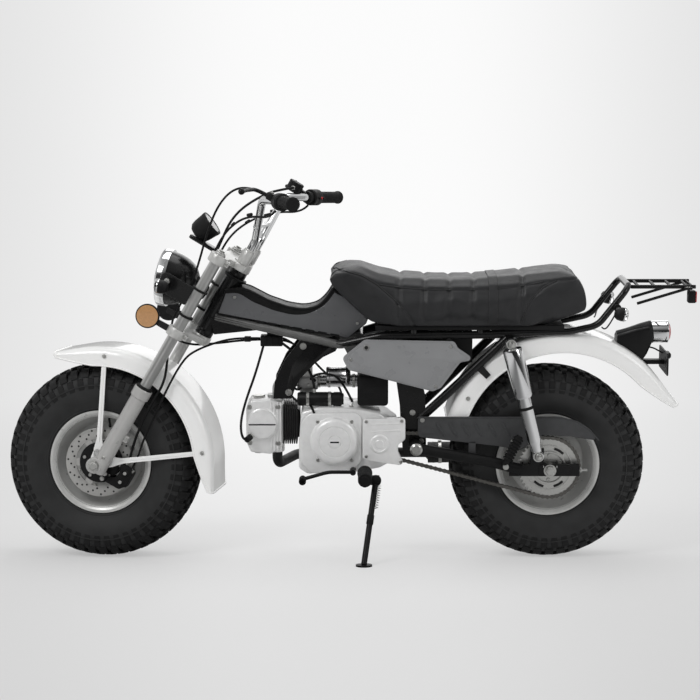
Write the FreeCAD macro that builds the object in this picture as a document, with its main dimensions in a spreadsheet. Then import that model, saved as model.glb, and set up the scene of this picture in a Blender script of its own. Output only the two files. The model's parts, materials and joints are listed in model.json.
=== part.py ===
import FreeCAD, Part
import math
import os
import Sketcher

# A fat-tyred minibike leaning on its side stand, in millimetres.
# The machine is modelled upright with its nose towards -X, its left side towards -Y and the ground at
# Z = 0. Each sub-part then gets a Placement that steers the front end and leans the whole machine.

V = FreeCAD.Vector
Turn = FreeCAD.Rotation
Place = FreeCAD.Placement
AXIS_X, AXIS_Y, AXIS_Z = V(1, 0, 0), V(0, 1, 0), V(0, 0, 1)
SIDES = {"left": -1, "right": 1}

# Driving dimensions: alias, value, what it is
DRIVING = [
    ("tyre_radius", 270, "wheel centre to the lug tips"),
    ("tyre_half_width", 84, "half the tyre's widest section"),
    ("crown_radius", 150, "radius of the tread's crown, seen along the road"),
    ("lug_depth", 11, "height of the tread lugs"),
    ("tread_half_width", 70, "half the tread over its shoulder lugs"),
    ("groove_half_width", 3, "half the groove between the two rows of lugs"),
    ("lug_pairs", 24, "left and right lugs round the tread"),
    ("bead_radius", 127, "radius where the tyre sits on the rim"),
    ("rim_lip_radius", 142, "outer radius of the rim flange"),
    ("rim_half_width", 66, "half the rim's width over its flanges"),
    ("rim_wall", 5, "thickness of the rim"),
    ("hub_radius", 48, "outer radius of the wheel hub"),
    ("hub_half_width", 58, "half the hub's width"),
    ("axle_radius", 7.5, "radius of both axles"),
    ("axle_play", 0.3, "gap between an axle and its hub"),
    ("rear_axle_x", 610, "rear wheel centre behind the middle"),
    ("disc_radius", 95, "front brake disc"),
    ("disc_wall", 4, "thickness of the brake disc"),
    ("disc_offset", 72, "brake disc's middle left of the wheel's middle"),
    ("rake", 30, "steering axis behind the vertical, degrees"),
    ("head_x", -243, "top of the steering head, along"),
    ("head_z", 783.5, "top of the steering head, up"),
    ("head_length", 168, "length of the steering head"),
    ("head_radius", 27, "outer radius of the steering head"),
    ("stem_radius", 14, "radius of the steering stem"),
    ("stem_play", 2, "gap between the stem and the head tube"),
    ("fork_offset", 50, "fork legs ahead of the steering axis"),
    ("axle_lead", 12, "front axle ahead of the fork legs"),
    ("fork_half_gap", 116, "fork leg's middle from the centre plane"),
    ("fork_tube_radius", 15.5, "upper fork tube"),
    ("slider_radius", 22, "lower fork slider"),
    ("slider_length", 249, "fork slider above the axle"),
    ("top_bridge_level", 31, "middle of the top bridge above the head's top"),
    ("low_bridge_level", -199, "middle of the lower bridge below the head's top"),
    ("bridge_height", 26, "height of both bridges"),
    ("boss_radius", 25, "bridge boss round a fork tube"),
    ("bar_radius", 11, "handlebar tube"),
    ("mirror_bore", 4.25, "tapped bore for a mirror's M10 stem"),
    ("screw_bore", 3.25, "bores of the number plate's bracket"),
    ("strap_bore", 3.5, "bores of the rack's tabs"),
    ("cable_radius", 3, "control cables and looms"),
    ("hose_radius", 3.5, "front brake hose"),
    ("spine_half_width", 42, "half the width of the pressed spine"),
    ("rail_bend_x", 40, "bend of the rails behind the spine"),
    ("rail_bend_z", 603, "bend of the rails behind the spine"),
    ("seat_rail_z", 636, "middle of the rails under the seat"),
    ("seat_edge", 24, "rounding of the seat's upper edges"),
    ("grip_radius", 16.5, "handlebar grip"),
    ("steer_rest", 9, "steering turned right at rest, degrees"),
    ("lean", 6.5, "lean to the left on the stand, degrees"),
    ("rail_radius", 11, "frame rails"),
    ("rail_half_gap", 88, "seat rails from the centre plane"),
    ("loop_radius", 9, "tube of the grab loop"),
    ("loop_half_gap", 92, "grab loop from the centre plane"),
    ("loop_low_x", 736, "where the grab loop turns up"),
    ("loop_low_z", 662, "where the grab loop turns up"),
    ("loop_top_x", 818, "top of the grab loop"),
    ("loop_top_z", 768, "top of the grab loop"),
    ("rack_length", 176, "rear rack behind the grab loop"),
    ("pivot_x", 247, "swingarm pivot behind the middle"),
    ("pivot_z", 330, "swingarm pivot height"),
    ("arm_radius", 15, "swingarm tube"),
    ("arm_half_gap", 128, "swingarm arms from the centre plane"),
    ("shock_top_x", 498, "upper eye of the shock absorbers"),
    ("shock_top_z", 623, "upper eye of the shock absorbers"),
    ("shock_low_x", 575, "lower eye of the shock absorbers"),
    ("shock_low_z", 316, "lower eye of the shock absorbers"),
    ("shock_half_gap", 156, "shock absorbers from the centre plane"),
    ("shock_cover_radius", 27, "upper cover of the shock absorbers"),
    ("shock_body_radius", 20, "lower body of the shock absorbers"),
    ("chain_offset", 97, "chain line left of the centre plane"),
    ("chain_pitch", 12.7, "chain pitch"),
    ("chain_width", 13, "chain over its pins"),
    ("chain_height", 11, "height of a chain plate"),
    ("rear_teeth", 41, "teeth of the rear sprocket"),
    ("front_teeth", 15, "teeth of the engine sprocket"),
    ("engine_shaft_x", 150, "engine sprocket shaft"),
    ("engine_shaft_z", 338, "engine sprocket shaft"),
    ("crank_x", 26, "crankshaft"),
    ("crank_z", 343, "crankshaft"),
    ("seat_half_width", 124, "half the seat's width"),
    ("front_fender_gap", 52, "front fender outside the tyre"),
    ("fender_half_width", 96, "half the width of both fenders"),
    ("fender_wall", 3, "thickness of both fenders"),
    ("fender_skirt", 52, "depth of the fender sides"),
    ("rear_fender_gap", 60, "rear fender's radius over the tyre's"),
    ("rear_fender_back", 38, "rear fender's arc behind the axle"),
    ("rear_fender_up", 41, "rear fender's arc above the axle"),
    ("lamp_radius", 77, "headlamp"),
    ("lamp_depth", 100, "headlamp shell behind its rim"),
    ("dial_radius", 36, "speedometer"),
    ("dial_depth", 56, "speedometer"),
    ("stand_radius", 8, "side stand tube"),
    ("stand_pivot_x", 138, "side stand pivot"),
    ("stand_pivot_y", -112, "side stand pivot"),
    ("stand_pivot_z", 236, "side stand pivot"),
    ("stand_spread", 26, "side stand's angle outwards, degrees"),
    ("stand_forward", 8, "side stand's angle forwards, degrees"),
]


class Dim(float):
    """A number that remembers the sheet formula it comes from."""

    def __new__(cls, value, text=None):
        made = super().__new__(cls, value)
        made.text = text if text is not None else repr(float(value))
        return made

    def joined(self, other, sign, value):
        right = other.text if isinstance(other, Dim) else repr(float(other))
        return Dim(value, "(%s %s %s)" % (self.text, sign, right))

    def __add__(self, other):
        return self.joined(other, "+", float(self) + float(other))

    def __sub__(self, other):
        return self.joined(other, "-", float(self) - float(other))

    def __mul__(self, other):
        return self.joined(other, "*", float(self) * float(other))

    def __truediv__(self, other):
        return self.joined(other, "/", float(self) / float(other))

    def __radd__(self, other):
        return Dim(other).joined(self, "+", float(other) + float(self))

    def __rsub__(self, other):
        return Dim(other).joined(self, "-", float(other) - float(self))

    def __rmul__(self, other):
        return Dim(other).joined(self, "*", float(other) * float(self))

    def __neg__(self):
        return Dim(-1).joined(self, "*", -float(self))


doc = FreeCAD.newDocument("minibike")
sheet = doc.addObject("Spreadsheet::Sheet", "Sizes")
for row, (alias, value, note) in enumerate(DRIVING, start=1):
    sheet.set("A%d" % row, alias)
    sheet.set("B%d" % row, str(value))
    sheet.set("C%d" % row, note)
    sheet.setAlias("B%d" % row, alias)
doc.recompute()


def size(alias):
    return Dim(float(sheet.get(alias)), "Sizes." + alias)


# Sub-parts in the order they are made: label, object, group and own Placement
made_parts = []


def keep(obj, label, at=None):
    """Notes a finished sub-part and where it stands on the upright machine."""
    obj.Label = label
    made_parts.append((label, obj, at or Place()))
    return obj


def bind(obj, **dims):
    """Sets properties, and binds those that come from the sheet to their cells."""
    for name, value in dims.items():
        setattr(obj, name, float(value) if isinstance(value, Dim) else value)
        if isinstance(value, Dim) and "Sizes." in value.text:
            obj.setExpression(name, value.text)


def add(kind, **dims):
    obj = doc.addObject(kind, kind.split("::")[1])
    bind(obj, **dims)
    return obj


def along(direction, start):
    """A Placement that stands Z along a direction at a start point."""
    return Place(start, Turn(AXIS_Z, direction))


def rod(radius, length, start, direction, bore=0):
    """A cylinder, or a tube where a bore is given, along a direction."""
    outer = add("Part::Cylinder", Radius=radius, Height=length)
    outer.Placement = along(direction, start)
    if not bore:
        return outer
    inner = add("Part::Cylinder", Radius=bore, Height=length)
    inner.Placement = along(direction, start)
    return cut(outer, inner)


def block(length, width, height, corner, turn=None):
    obj = add("Part::Box", Length=length, Width=width, Height=height)
    obj.Placement = Place(corner, turn or Turn())
    return obj


def fuse(*pieces):
    obj = doc.addObject("Part::MultiFuse", "Fusion")
    obj.Shapes = list(pieces)
    return obj


def cut(base, *tools):
    obj = doc.addObject("Part::Cut", "Cut")
    obj.Base = base
    obj.Tool = tools[0] if len(tools) == 1 else fuse(*tools)
    return obj


def feature(shape, name="Feature"):
    obj = doc.addObject("Part::Feature", name)
    obj.Shape = shape
    return obj


def origin_part(body, role):
    return next(f for f in body.Origin.OriginFeatures if f.Role == role)


def outline(body, plane, points):
    """A sketch of straight lines on a body's origin plane, each corner bound to its two dimensions."""
    sketch = body.newObject("Sketcher::SketchObject", "Outline")
    sketch.AttachmentSupport = [(origin_part(body, plane), "")]
    sketch.MapMode = "FlatFace"
    count = len(points)
    for i, (x, y) in enumerate(points):
        nx, ny = points[(i + 1) % count]
        sketch.addGeometry(Part.LineSegment(V(x, y, 0), V(nx, ny, 0)), False)
    for i in range(count):
        sketch.addConstraint(Sketcher.Constraint("Coincident", i, 2, (i + 1) % count, 1))
    for i, point in enumerate(points):
        for kind, value in zip(("DistanceX", "DistanceY"), point):
            made = sketch.addConstraint(Sketcher.Constraint(kind, -1, 1, i, 1, float(value)))
            if isinstance(value, Dim) and "Sizes." in value.text:
                sketch.setExpression("Constraints[%d]" % made, value.text)
    return sketch


def spun(points, name="Body"):
    """A body turned about Y from an outline of (along Y, radius) corners."""
    body = doc.addObject("PartDesign::Body", name)
    sketch = outline(body, "YZ_Plane", points)
    turned = body.newObject("PartDesign::Revolution", "Revolution")
    turned.Profile = sketch
    turned.ReferenceAxis = (origin_part(body, "Y_Axis"), [""])
    turned.Angle = 360
    return body


def plate(points, thickness, middle, name="Body"):
    """A body padded across Y from an outline of (X, Z) corners, its middle plane at a Y."""
    body = doc.addObject("PartDesign::Body", name)
    sketch = outline(body, "XZ_Plane", points)
    pad = body.newObject("PartDesign::Pad", "Pad")
    pad.Profile = sketch
    pad.Midplane = True
    bind(pad, Length=thickness)
    body.Placement = Place(V(0, middle, 0), Turn())
    return body


def tube(points, radius, bends):
    """A round tube through corner points, each corner an arc of its own bend radius."""
    points = [V(*p) for p in points]
    edges = []
    start = points[0]
    for i in range(1, len(points) - 1):
        corner = points[i]
        before = (points[i - 1] - corner).normalize()
        after = (points[i + 1] - corner).normalize()
        half = before.getAngle(after) / 2
        bend = bends[i - 1] if isinstance(bends, (list, tuple)) else bends
        reach = bend / math.tan(half)
        first, last = corner + before * reach, corner + after * reach
        inward = (before + after).normalize()
        mid = corner + inward * (bend / math.sin(half) - bend)
        edges.append(Part.LineSegment(start, first).toShape())
        edges.append(Part.Arc(first, mid, last).toShape())
        start = last
    edges.append(Part.LineSegment(start, points[-1]).toShape())
    path = Part.Wire(edges)
    face = Part.Wire(Part.Circle(points[0], points[1] - points[0], radius).toShape())
    return path.makePipeShell([face], True, False)


def cable(points, radius):
    """A held cable, each bend as large as the shorter run beside it allows."""
    bends = []
    for before, corner, after in zip(points, points[1:], points[2:]):
        back, ahead = V(*before) - V(*corner), V(*after) - V(*corner)
        half = back.getAngle(ahead) / 2
        bends.append(0.45 * min(back.Length, ahead.Length) * math.tan(half))
    return tube(points, radius, bends)


def mirrored(shape):
    return shape.mirror(V(0, 0, 0), AXIS_Y)


def both(shape):
    """A left-hand shape and its mirror image, as one compound of separate solids."""
    return Part.Compound([shape, mirrored(shape)])


# Named places worked out from the driving dimensions
LEAN = Turn(AXIS_X, size("lean"))
RAKE = Turn(AXIS_Y, size("rake"))
HEAD = V(size("head_x"), 0, size("head_z"))
STEER_FRAME = Place(HEAD, RAKE)
STEER_AXIS = RAKE.multVec(AXIS_Z)
STEER = Place(V(), Turn(STEER_AXIS, -size("steer_rest")), HEAD)
FORK_LEAD = size("fork_offset") + size("axle_lead")


def tread_points():
    """Corners of a raised lug's crown, from the centre groove to the shoulder, as (across, radius)."""
    crown = float(size("crown_radius"))
    groove, edge = float(size("groove_half_width")), float(size("tread_half_width"))
    rise = float(size("tyre_radius")) - crown
    return [(y, rise + math.sqrt(crown ** 2 - y ** 2)) for y in (groove, edge / 3, edge * 2 / 3, edge)]


def half_step():
    """Half the angle of one lug round the tread."""
    return math.pi / float(size("lug_pairs")) / 2


def contact_height(axle_direction):
    """Height of a wheel centre whose axle points that way, resting on the lug under it."""
    tilt = abs(axle_direction.z)
    slope = math.sqrt(1 - tilt ** 2)
    return max(r * math.cos(half_step()) * slope + y * tilt for y, r in tread_points())


REAR_AXLE = V(size("rear_axle_x"), 0, size("tyre_radius"))
GROUND_SHIFT = contact_height(LEAN.multVec(AXIS_Y)) - LEAN.multVec(REAR_AXLE).z


def front_axle_drop():
    """Distance down the steering axis to the front axle that puts the steered tyre on the ground."""
    target = contact_height(LEAN.multVec(STEER.Rotation.multVec(AXIS_Y)))
    ahead = STEER_FRAME.multVec(V(-FORK_LEAD, 0, 0))
    start = LEAN.multVec(STEER.multVec(ahead)).z + GROUND_SHIFT
    fall = LEAN.multVec(STEER_AXIS).z
    return (start - target) / fall


AXLE_DROP = front_axle_drop()
FRONT_AXLE = STEER_FRAME.multVec(V(-FORK_LEAD, 0, -AXLE_DROP))
FRONT_HUB = STEER.multiply(Place(FRONT_AXLE, Turn()))
REAR_HUB = Place(REAR_AXLE, Turn())
FORK = STEER.multiply(STEER_FRAME)
REAR_FENDER = REAR_AXLE + V(size("rear_fender_back"), 0, size("rear_fender_up"))
RAIL_FRONT = STEER_FRAME.multVec(V(4, 0, -124))
RAIL_Z = size("seat_rail_z")
SEAT_BASE = RAIL_Z + 21
SEAT_HINGE = V(300, 112, RAIL_Z + 13)
HINGES = (264, 444)
LOOP_X = 560
UPRIGHT_Y = 80
SPINE_HEEL = (112, 658)
SPINE_FOOT = (62, 616)
BAR_FOOT = 45
LAMP = V(-185, 0, -111)
LUG_Y = 93
DIAL = V(-129, 0, 92)
# Where strangers fasten things: name, Placement, point, direction out of the bore
MOUNT_PLACES = []


def ground_down(at):
    """A turn about the axle that points the lug at the bottom of the wheel straight at the road."""
    down = LEAN.multiply(at.Rotation).inverted().multVec(-AXIS_Z)
    return Place(V(), Turn(AXIS_Y, math.degrees(math.atan2(-down.x, -down.z))))


def disc_y(radius, y0, y1, x=0, z=0):
    """A cylinder along Y between two stations."""
    low, high = (y0, y1) if float(y0) < float(y1) else (y1, y0)
    return rod(radius, high - low, V(x, low, z), AXIS_Y)


def span(x0, x1, y0, y1, z0, z1):
    """A box between three pairs of stations."""
    return block(x1 - x0, y1 - y0, z1 - z0, V(x0, y0, z0))


def pair(*solids):
    obj = doc.addObject("Part::Compound", "Pair")
    obj.Links = list(solids)
    return obj


def tyre(label, at):
    """A balloon tyre with a row of lugs each side, left and right by turns, as a shell of flat faces."""
    half, bead = float(size("tyre_half_width")), float(size("bead_radius"))
    seat = float(size("rim_half_width") - size("rim_wall") - 0.3)
    bead_corner = bead / math.cos(half_step())
    lip = float(size("rim_lip_radius")) + 1
    wide = (float(size("tyre_radius")) + bead) / 2 + 2
    raised = tread_points()[::-1]
    depth = float(size("lug_depth"))
    shoulder = (raised[0][0] + 2, raised[0][1] - depth)
    flat = [(raised[1][0], raised[1][1] - depth), (raised[-1][0], raised[-1][1] - depth)]
    side = [(seat, bead_corner), (seat, lip), (half, wide - 14), (half, wide + 14), shoulder]
    lug = side[-1:] + raised + flat[-1:]
    ground = side[-1:] + flat
    count = 2 * int(float(size("lug_pairs")))
    step = 2 * math.pi / count

    def corner(point, sign, station):
        # Station 0 and 1 bound the segment at the bottom of the wheel
        a = (station - 0.5) * step
        return V(point[1] * math.sin(a), point[0] * sign, -point[1] * math.cos(a))

    def face(*corners):
        return Part.Face(Part.makePolygon(list(corners) + [corners[0]]))

    faces = []
    for k in range(count):
        for sign in (-1, 1):
            tread = lug if (k % 2 == 0) == (sign < 0) else ground
            for line in (side, tread):
                for a, b in zip(line, line[1:]):
                    faces.append(face(corner(a, sign, k), corner(b, sign, k), corner(b, sign, k + 1),
                                      corner(a, sign, k + 1)))
            faces.append(face(*[corner(p, sign, k) for p in lug + flat[:1]]))
        for p in (side[0], flat[-1]):
            faces.append(face(corner(p, -1, k), corner(p, 1, k), corner(p, 1, k + 1), corner(p, -1, k + 1)))
    skin = Part.Compound(faces)
    skin.sewShape(0.001)
    solid = Part.Solid(skin.Shells[0])
    if solid.Volume < 0:
        solid.reverse()
    keep(feature(solid), label, at.multiply(ground_down(at)))


def rim(label, at, left_face):
    """A steel rim with flanges and a hub bored for its axle."""
    half, lip, wall = size("rim_half_width"), size("rim_lip_radius"), size("rim_wall")
    bead, hub, hub_half = size("bead_radius"), size("hub_radius"), size("hub_half_width")
    bore = size("axle_radius") + size("axle_play")
    shape = spun([
        (-left_face, bore), (-left_face, hub - 8), (-hub_half, hub - 8), (-hub_half, hub), (-7, hub),
        (-7, bead - 22), (-half, bead - wall), (-half, lip), (wall - half, lip), (wall - half, bead - 0.3),
        (half - wall, bead - 0.3), (half - wall, lip), (half, lip), (half, bead - wall),
        (7, bead - 22), (7, hub), (hub_half, hub), (hub_half, bore),
    ])
    keep(shape, label, at)


def fender_body(radius, first, last):
    """A channel section turned about Y, from one angle to another, in degrees up from the rear."""
    half, wall, skirt = size("fender_half_width"), size("fender_wall"), size("fender_skirt")
    # How far each corner of the round crown lies in from the side and below the top
    outer_corners = [(0, 38), (3, 25), (11, 13), (23, 5), (40, 0)]
    inner_corners = [(0, 36), (3, 24), (10, 13), (22, 4.5), (39, 0)]
    crown = [(half - inset, radius - drop) for inset, drop in outer_corners]
    lining = [(half - wall - inset, radius - wall - drop) for inset, drop in inner_corners]
    outer = [(half, radius - skirt)] + crown + [(-y, r) for y, r in reversed(crown)]
    outer += [(-half, radius - skirt)]
    inner = [(wall - half, radius - skirt)] + [(-y, r) for y, r in lining]
    inner += lining[::-1] + [(half - wall, radius - skirt)]
    body = spun(outer + inner)
    turned = next(o for o in body.Group if o.TypeId == "PartDesign::Revolution")
    turned.Angle = last - first
    # The section is drawn straight up, so a turn of 90 - last brings its end to the last angle
    body.Placement = Place(V(), Turn(AXIS_Y, 90 - last))
    return body


def wheels():
    play = size("axle_radius") + size("axle_play")
    carrier = size("disc_offset") - size("disc_wall") / 2
    tyre("front_tyre", FRONT_HUB)
    rim("front_rim", FRONT_HUB, carrier)
    low, high = -size("disc_offset") - size("disc_wall") / 2, -carrier
    keep(cut(disc_y(size("disc_radius"), low, high), disc_y(play, low, high)), "brake_disc", FRONT_HUB)
    face = size("chain_offset") - 3
    tyre("rear_tyre", REAR_HUB)
    rim("rear_rim", REAR_HUB, face)
    root = pitch_radius("rear_teeth") - size("chain_height") / 2 - 0.3
    low, high = -face - 6, -face
    holes = [disc_y(play, low, high)]
    for i in range(6):
        a = math.radians(60 * i)
        holes.append(disc_y(9, low, high, 58 * math.cos(a), 58 * math.sin(a)))
    keep(cut(disc_y(root, low, high), *holes), "rear_sprocket", REAR_HUB)


def pitch_radius(teeth):
    return float(size("chain_pitch")) / 2 / math.sin(math.pi / float(size(teeth)))


# The front end is built in the steering frame: X across the fork, Z up the steering axis
def fork():
    lead, gap = -size("fork_offset"), size("fork_half_gap")
    axle_x, axle_z = -FORK_LEAD, -AXLE_DROP
    slider_top = size("slider_length") + axle_z
    tube_r, boss = size("fork_tube_radius"), size("boss_radius")
    top, low, high = size("top_bridge_level"), size("low_bridge_level"), size("bridge_height")
    hole = size("axle_radius") + 0.05
    legs = []
    for side in SIDES.values():
        y = gap * side
        leg = rod(tube_r, top + high / 2 + 5 - slider_top, V(lead, y, slider_top), AXIS_Z)
        slider = rod(size("slider_radius"), slider_top - axle_z + 16, V(lead, y, axle_z - 16), AXIS_Z)
        collar = rod(size("slider_radius") + 4, 30, V(lead, y, slider_top - 25), AXIS_Z)
        lug = disc_y(22, y - 22, y + 22, axle_x, axle_z)
        legs.append(cut(fuse(leg, slider, collar, lug), disc_y(hole, y - 30, y + 30, axle_x, axle_z)))
    keep(pair(*legs), "fork_legs", FORK)

    def bridge(level):
        bosses = [rod(boss, high, V(lead, gap * s, level - high / 2), AXIS_Z) for s in SIDES.values()]
        centre = rod(boss + 2, high, V(0, 0, level - high / 2), AXIS_Z)
        bar = span(lead - 14, lead + 20, -gap, gap, level - high / 2 + 4, level + high / 2 - 4)
        neck = span(lead, 0, -boss, boss, level - high / 2 + 4, level + high / 2 - 4)
        return [*bosses, centre, bar, neck]

    def clamp_holes(level):
        return [rod(tube_r, high, V(lead, gap * s, level - high / 2), AXIS_Z) for s in SIDES.values()]

    stem = size("stem_radius")
    cover = rod(boss, top - high / 2 - 0.3, V(0, 0, 0.3), AXIS_Z)
    sockets = [rod(17, 40, V(4, BAR_FOOT * s, top + high / 2), AXIS_Z) for s in SIDES.values()]
    shelf = span(-165, lead, -22, 22, top - 5, top + 5)
    bores = [rod(size("bar_radius"), 34, V(4, BAR_FOOT * s, top + high / 2 + 6), AXIS_Z)
             for s in SIDES.values()]
    pads = [span(-10, 18, min(0, BAR_FOOT * s), max(0, BAR_FOOT * s), top - 7, top + high / 2)
            for s in SIDES.values()]
    bridge_top = fuse(*bridge(top), cover, *sockets, *pads, shelf)
    stem_hole = rod(stem + 0.05, top + high, V(0, 0, 0), AXIS_Z)
    keep(cut(bridge_top, *clamp_holes(top), stem_hole, *bores), "top_bridge", FORK)

    race = rod(boss, -size("head_length") - 0.3 - low, V(0, 0, low), AXIS_Z)
    stem_rod = rod(stem, top + high / 2 - low, V(0, 0, low), AXIS_Z)
    knob = rod(15, 16, V(0, 0, top + high / 2), AXIS_Z)
    arms = [span(lead - 90, lead, gap * s - 3, gap * s + 3, low - 10, low + 9) for s in SIDES.values()]
    keep(cut(fuse(*bridge(low), race, stem_rod, knob, *arms), *clamp_holes(low)), "lower_bridge", FORK)
    discs = []
    for s in SIDES.values():
        near, far = gap * s + 3 * s, gap * s + 12 * s
        discs.append(disc_y(33, near, far, lead - 88, low))
    keep(pair(*discs), "fork_reflectors", FORK)

    inner = gap - 22
    left_hub = size("disc_offset") + size("disc_wall") / 2 + 0.3
    collars = fuse(disc_y(13, -inner, -left_hub, axle_x, axle_z),
                   disc_y(13, size("hub_half_width") + 0.3, inner, axle_x, axle_z))
    pin = disc_y(size("axle_radius"), -gap - 30, gap + 30, axle_x, axle_z)
    heads = [disc_y(13, gap * s + 22 * s, gap * s + 30 * s, axle_x, axle_z) for s in SIDES.values()]
    keep(fuse(pin, collars, *heads), "front_axle", FORK)

    caliper = span(-30, 38, -88, -50, axle_z - 38, axle_z + 36)
    slot = span(-30, 36, -size("disc_offset") - 7, -size("disc_offset") + 7, axle_z - 38, axle_z + 36)
    ear = span(-40, -24, -gap + 20, -80, axle_z - 38, axle_z - 4)
    keep(cut(fuse(caliper, ear), slot, disc_y(60, -size("disc_offset") - 7, -50, axle_x, axle_z)),
         "brake_caliper", FORK)


def front_fender():
    """The fender and its stays, round the front wheel's centre and square to the road."""
    radius = size("tyre_radius") + size("front_fender_gap")
    shell = fender_body(radius, -13, 112)
    half, wall = size("fender_half_width"), size("fender_wall")
    stays = []
    for angle, width in ((76, 16), (-2, 16)):
        for s in SIDES.values():
            y0, y1 = sorted((float(half - wall) * s, float(half - 2 * wall) * s))
            stay = block(radius - 30, y1 - y0, width, V(0, y0, -width / 2))
            stays.append(feature_turned(stay, angle))
    holes = disc_y(14, -half, half)
    keep(cut(fuse(shell, *stays), holes), "front_fender", FRONT_HUB)


def feature_turned(obj, angle):
    """Turns a piece that lies along +X up about Y by an angle in degrees."""
    obj.Placement = Place(V(), Turn(AXIS_Y, -angle)).multiply(obj.Placement)
    return obj


def controls():
    """Handlebar, grips, switch blocks, levers, lamp and instruments, in the steering frame."""
    bar_r = size("bar_radius")
    top = size("top_bridge_level") + size("bridge_height") / 2
    right_half = tube([(4, BAR_FOOT, top + 6), (4, BAR_FOOT, 116), (-17, 168, 236), (26, 222, 258),
                       (88, 388, 290)], float(bar_r), [40, 45, 60])
    cross = Part.makeCylinder(7, 190, V(-6, -95, 158), AXIS_Y)
    bar = mirrored(right_half).fuse([cross, right_half])
    keep(feature(bar), "handlebar", FORK)
    along_grip = (V(88, 388, 290) - V(26, 222, 258)).normalize()
    end = V(88, 388, 290)
    grip_r = float(size("grip_radius"))

    def on_bar(radius, back, length):
        start = end - along_grip * back
        solid = Part.makeCylinder(radius, length, start, along_grip)
        return solid.cut(Part.makeCylinder(float(bar_r), length, start, along_grip))

    grip = Part.makeCylinder(grip_r, 116, end - along_grip * 112, along_grip)
    flange = Part.makeCylinder(grip_r + 4, 5, end - along_grip * 112, along_grip)
    cap = Part.makeCylinder(grip_r + 2, 5, end - along_grip * 1, along_grip)
    bar_end = Part.makeCylinder(float(bar_r), 112, end - along_grip * 112, along_grip)
    grip = grip.fuse([flange, cap]).cut(bar_end)
    keep(feature(both(grip)), "grips", FORK)
    switch = on_bar(23, 152, 39)
    perch = on_bar(17, 169, 17)
    arm_start = end - along_grip * 161
    arm = tube([(arm_start.x - 14, arm_start.y, arm_start.z), (-36, 238, 258), (-44, 300, 252),
                (-46, 352, 248)], 6, [14, 60])
    ball = Part.makeSphere(9, V(-46, 356, 248))
    lever = arm.fuse(ball)
    holder = Part.makeBox(30, 30, 20, V(arm_start.x - 34, arm_start.y - 19, arm_start.z - 10))
    mirror_at = arm_start + V(-20, 4, -4)
    mirror_bore = Part.makeCylinder(float(size("mirror_bore")), 20, mirror_at, AXIS_Z)
    for side, sign in SIDES.items():
        face = V(mirror_at.x, mirror_at.y * sign, mirror_at.z + 7)
        MOUNT_PLACES.append((side + "_mirror", FORK, face, AXIS_Z))
    bar_hole = Part.makeCylinder(float(bar_r), 60, end - along_grip * 195, along_grip)
    left = switch.fuse([perch, holder, lever]).cut([bar_hole, right_half, mirror_bore])
    keep(feature(mirrored(left)), "left_controls", FORK)
    pot = Part.makeCylinder(22, 30, V(arm_start.x - 44, arm_start.y - 24, arm_start.z - 6), AXIS_Z)
    right = switch.fuse([perch, holder, lever, pot]).cut([bar_hole, right_half, mirror_bore])
    keep(feature(right), "right_controls", FORK)

    # The lamp looks 9 degrees above the road ahead; it is turned about Y and then laid down
    lamp_r, depth = size("lamp_radius"), size("lamp_depth")
    lamp = spun([(-depth, 0), (-depth, 22), (-depth + 12, 48), (-depth / 2 - 8, 68), (-22, lamp_r - 3),
                 (-20, lamp_r + 2), (0, lamp_r + 2), (4, lamp_r - 8), (16, lamp_r / 2), (20, 0)])
    facing = V(-math.cos(math.radians(21)), 0, -math.sin(math.radians(21)))
    lamp.Placement = Place(LAMP - facing * 10, Turn(AXIS_Y, facing))
    bosses = [disc_y(9, lamp_r * s - 14 * s, LUG_Y * s, LAMP.x + 42, LAMP.z + 16) for s in SIDES.values()]
    keep(fuse(lamp, *bosses), "headlamp", FORK)
    lead, gap, tube_r = -size("fork_offset"), size("fork_half_gap"), size("fork_tube_radius")
    ears = []
    for s in SIDES.values():
        ring = rod(tube_r + 6, 90, V(lead, gap * s, LAMP.z - 40), AXIS_Z, tube_r)
        y0, y1 = sorted((LUG_Y * s, LUG_Y * s + 4 * s))
        ear = span(LAMP.x + 22, lead - 10, y0, y1, LAMP.z - 16, LAMP.z + 38)
        ears.append(cut(fuse(ring, ear), rod(tube_r, 100, V(lead, gap * s, LAMP.z - 45), AXIS_Z)))
    keep(pair(*ears), "lamp_ears", FORK)
    lamps = []
    for s in SIDES.values():
        stalk = disc_y(7, LUG_Y * s + 4 * s, 130 * s, -141, -107)
        lamps.append(fuse(stalk, disc_y(19, 126 * s, 172 * s, -141, -107)))
    keep(pair(*lamps), "front_indicators", FORK)
    dial_r, dial_d = size("dial_radius"), size("dial_depth")
    up = V(0.42, 0, 0.907)
    dial = rod(dial_r, dial_d, DIAL - up * float(dial_d), up)
    keep(cut(dial, span(-200, -60, -30, 30, 0, size("top_bridge_level") + 5.3)), "speedometer", FORK)


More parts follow.
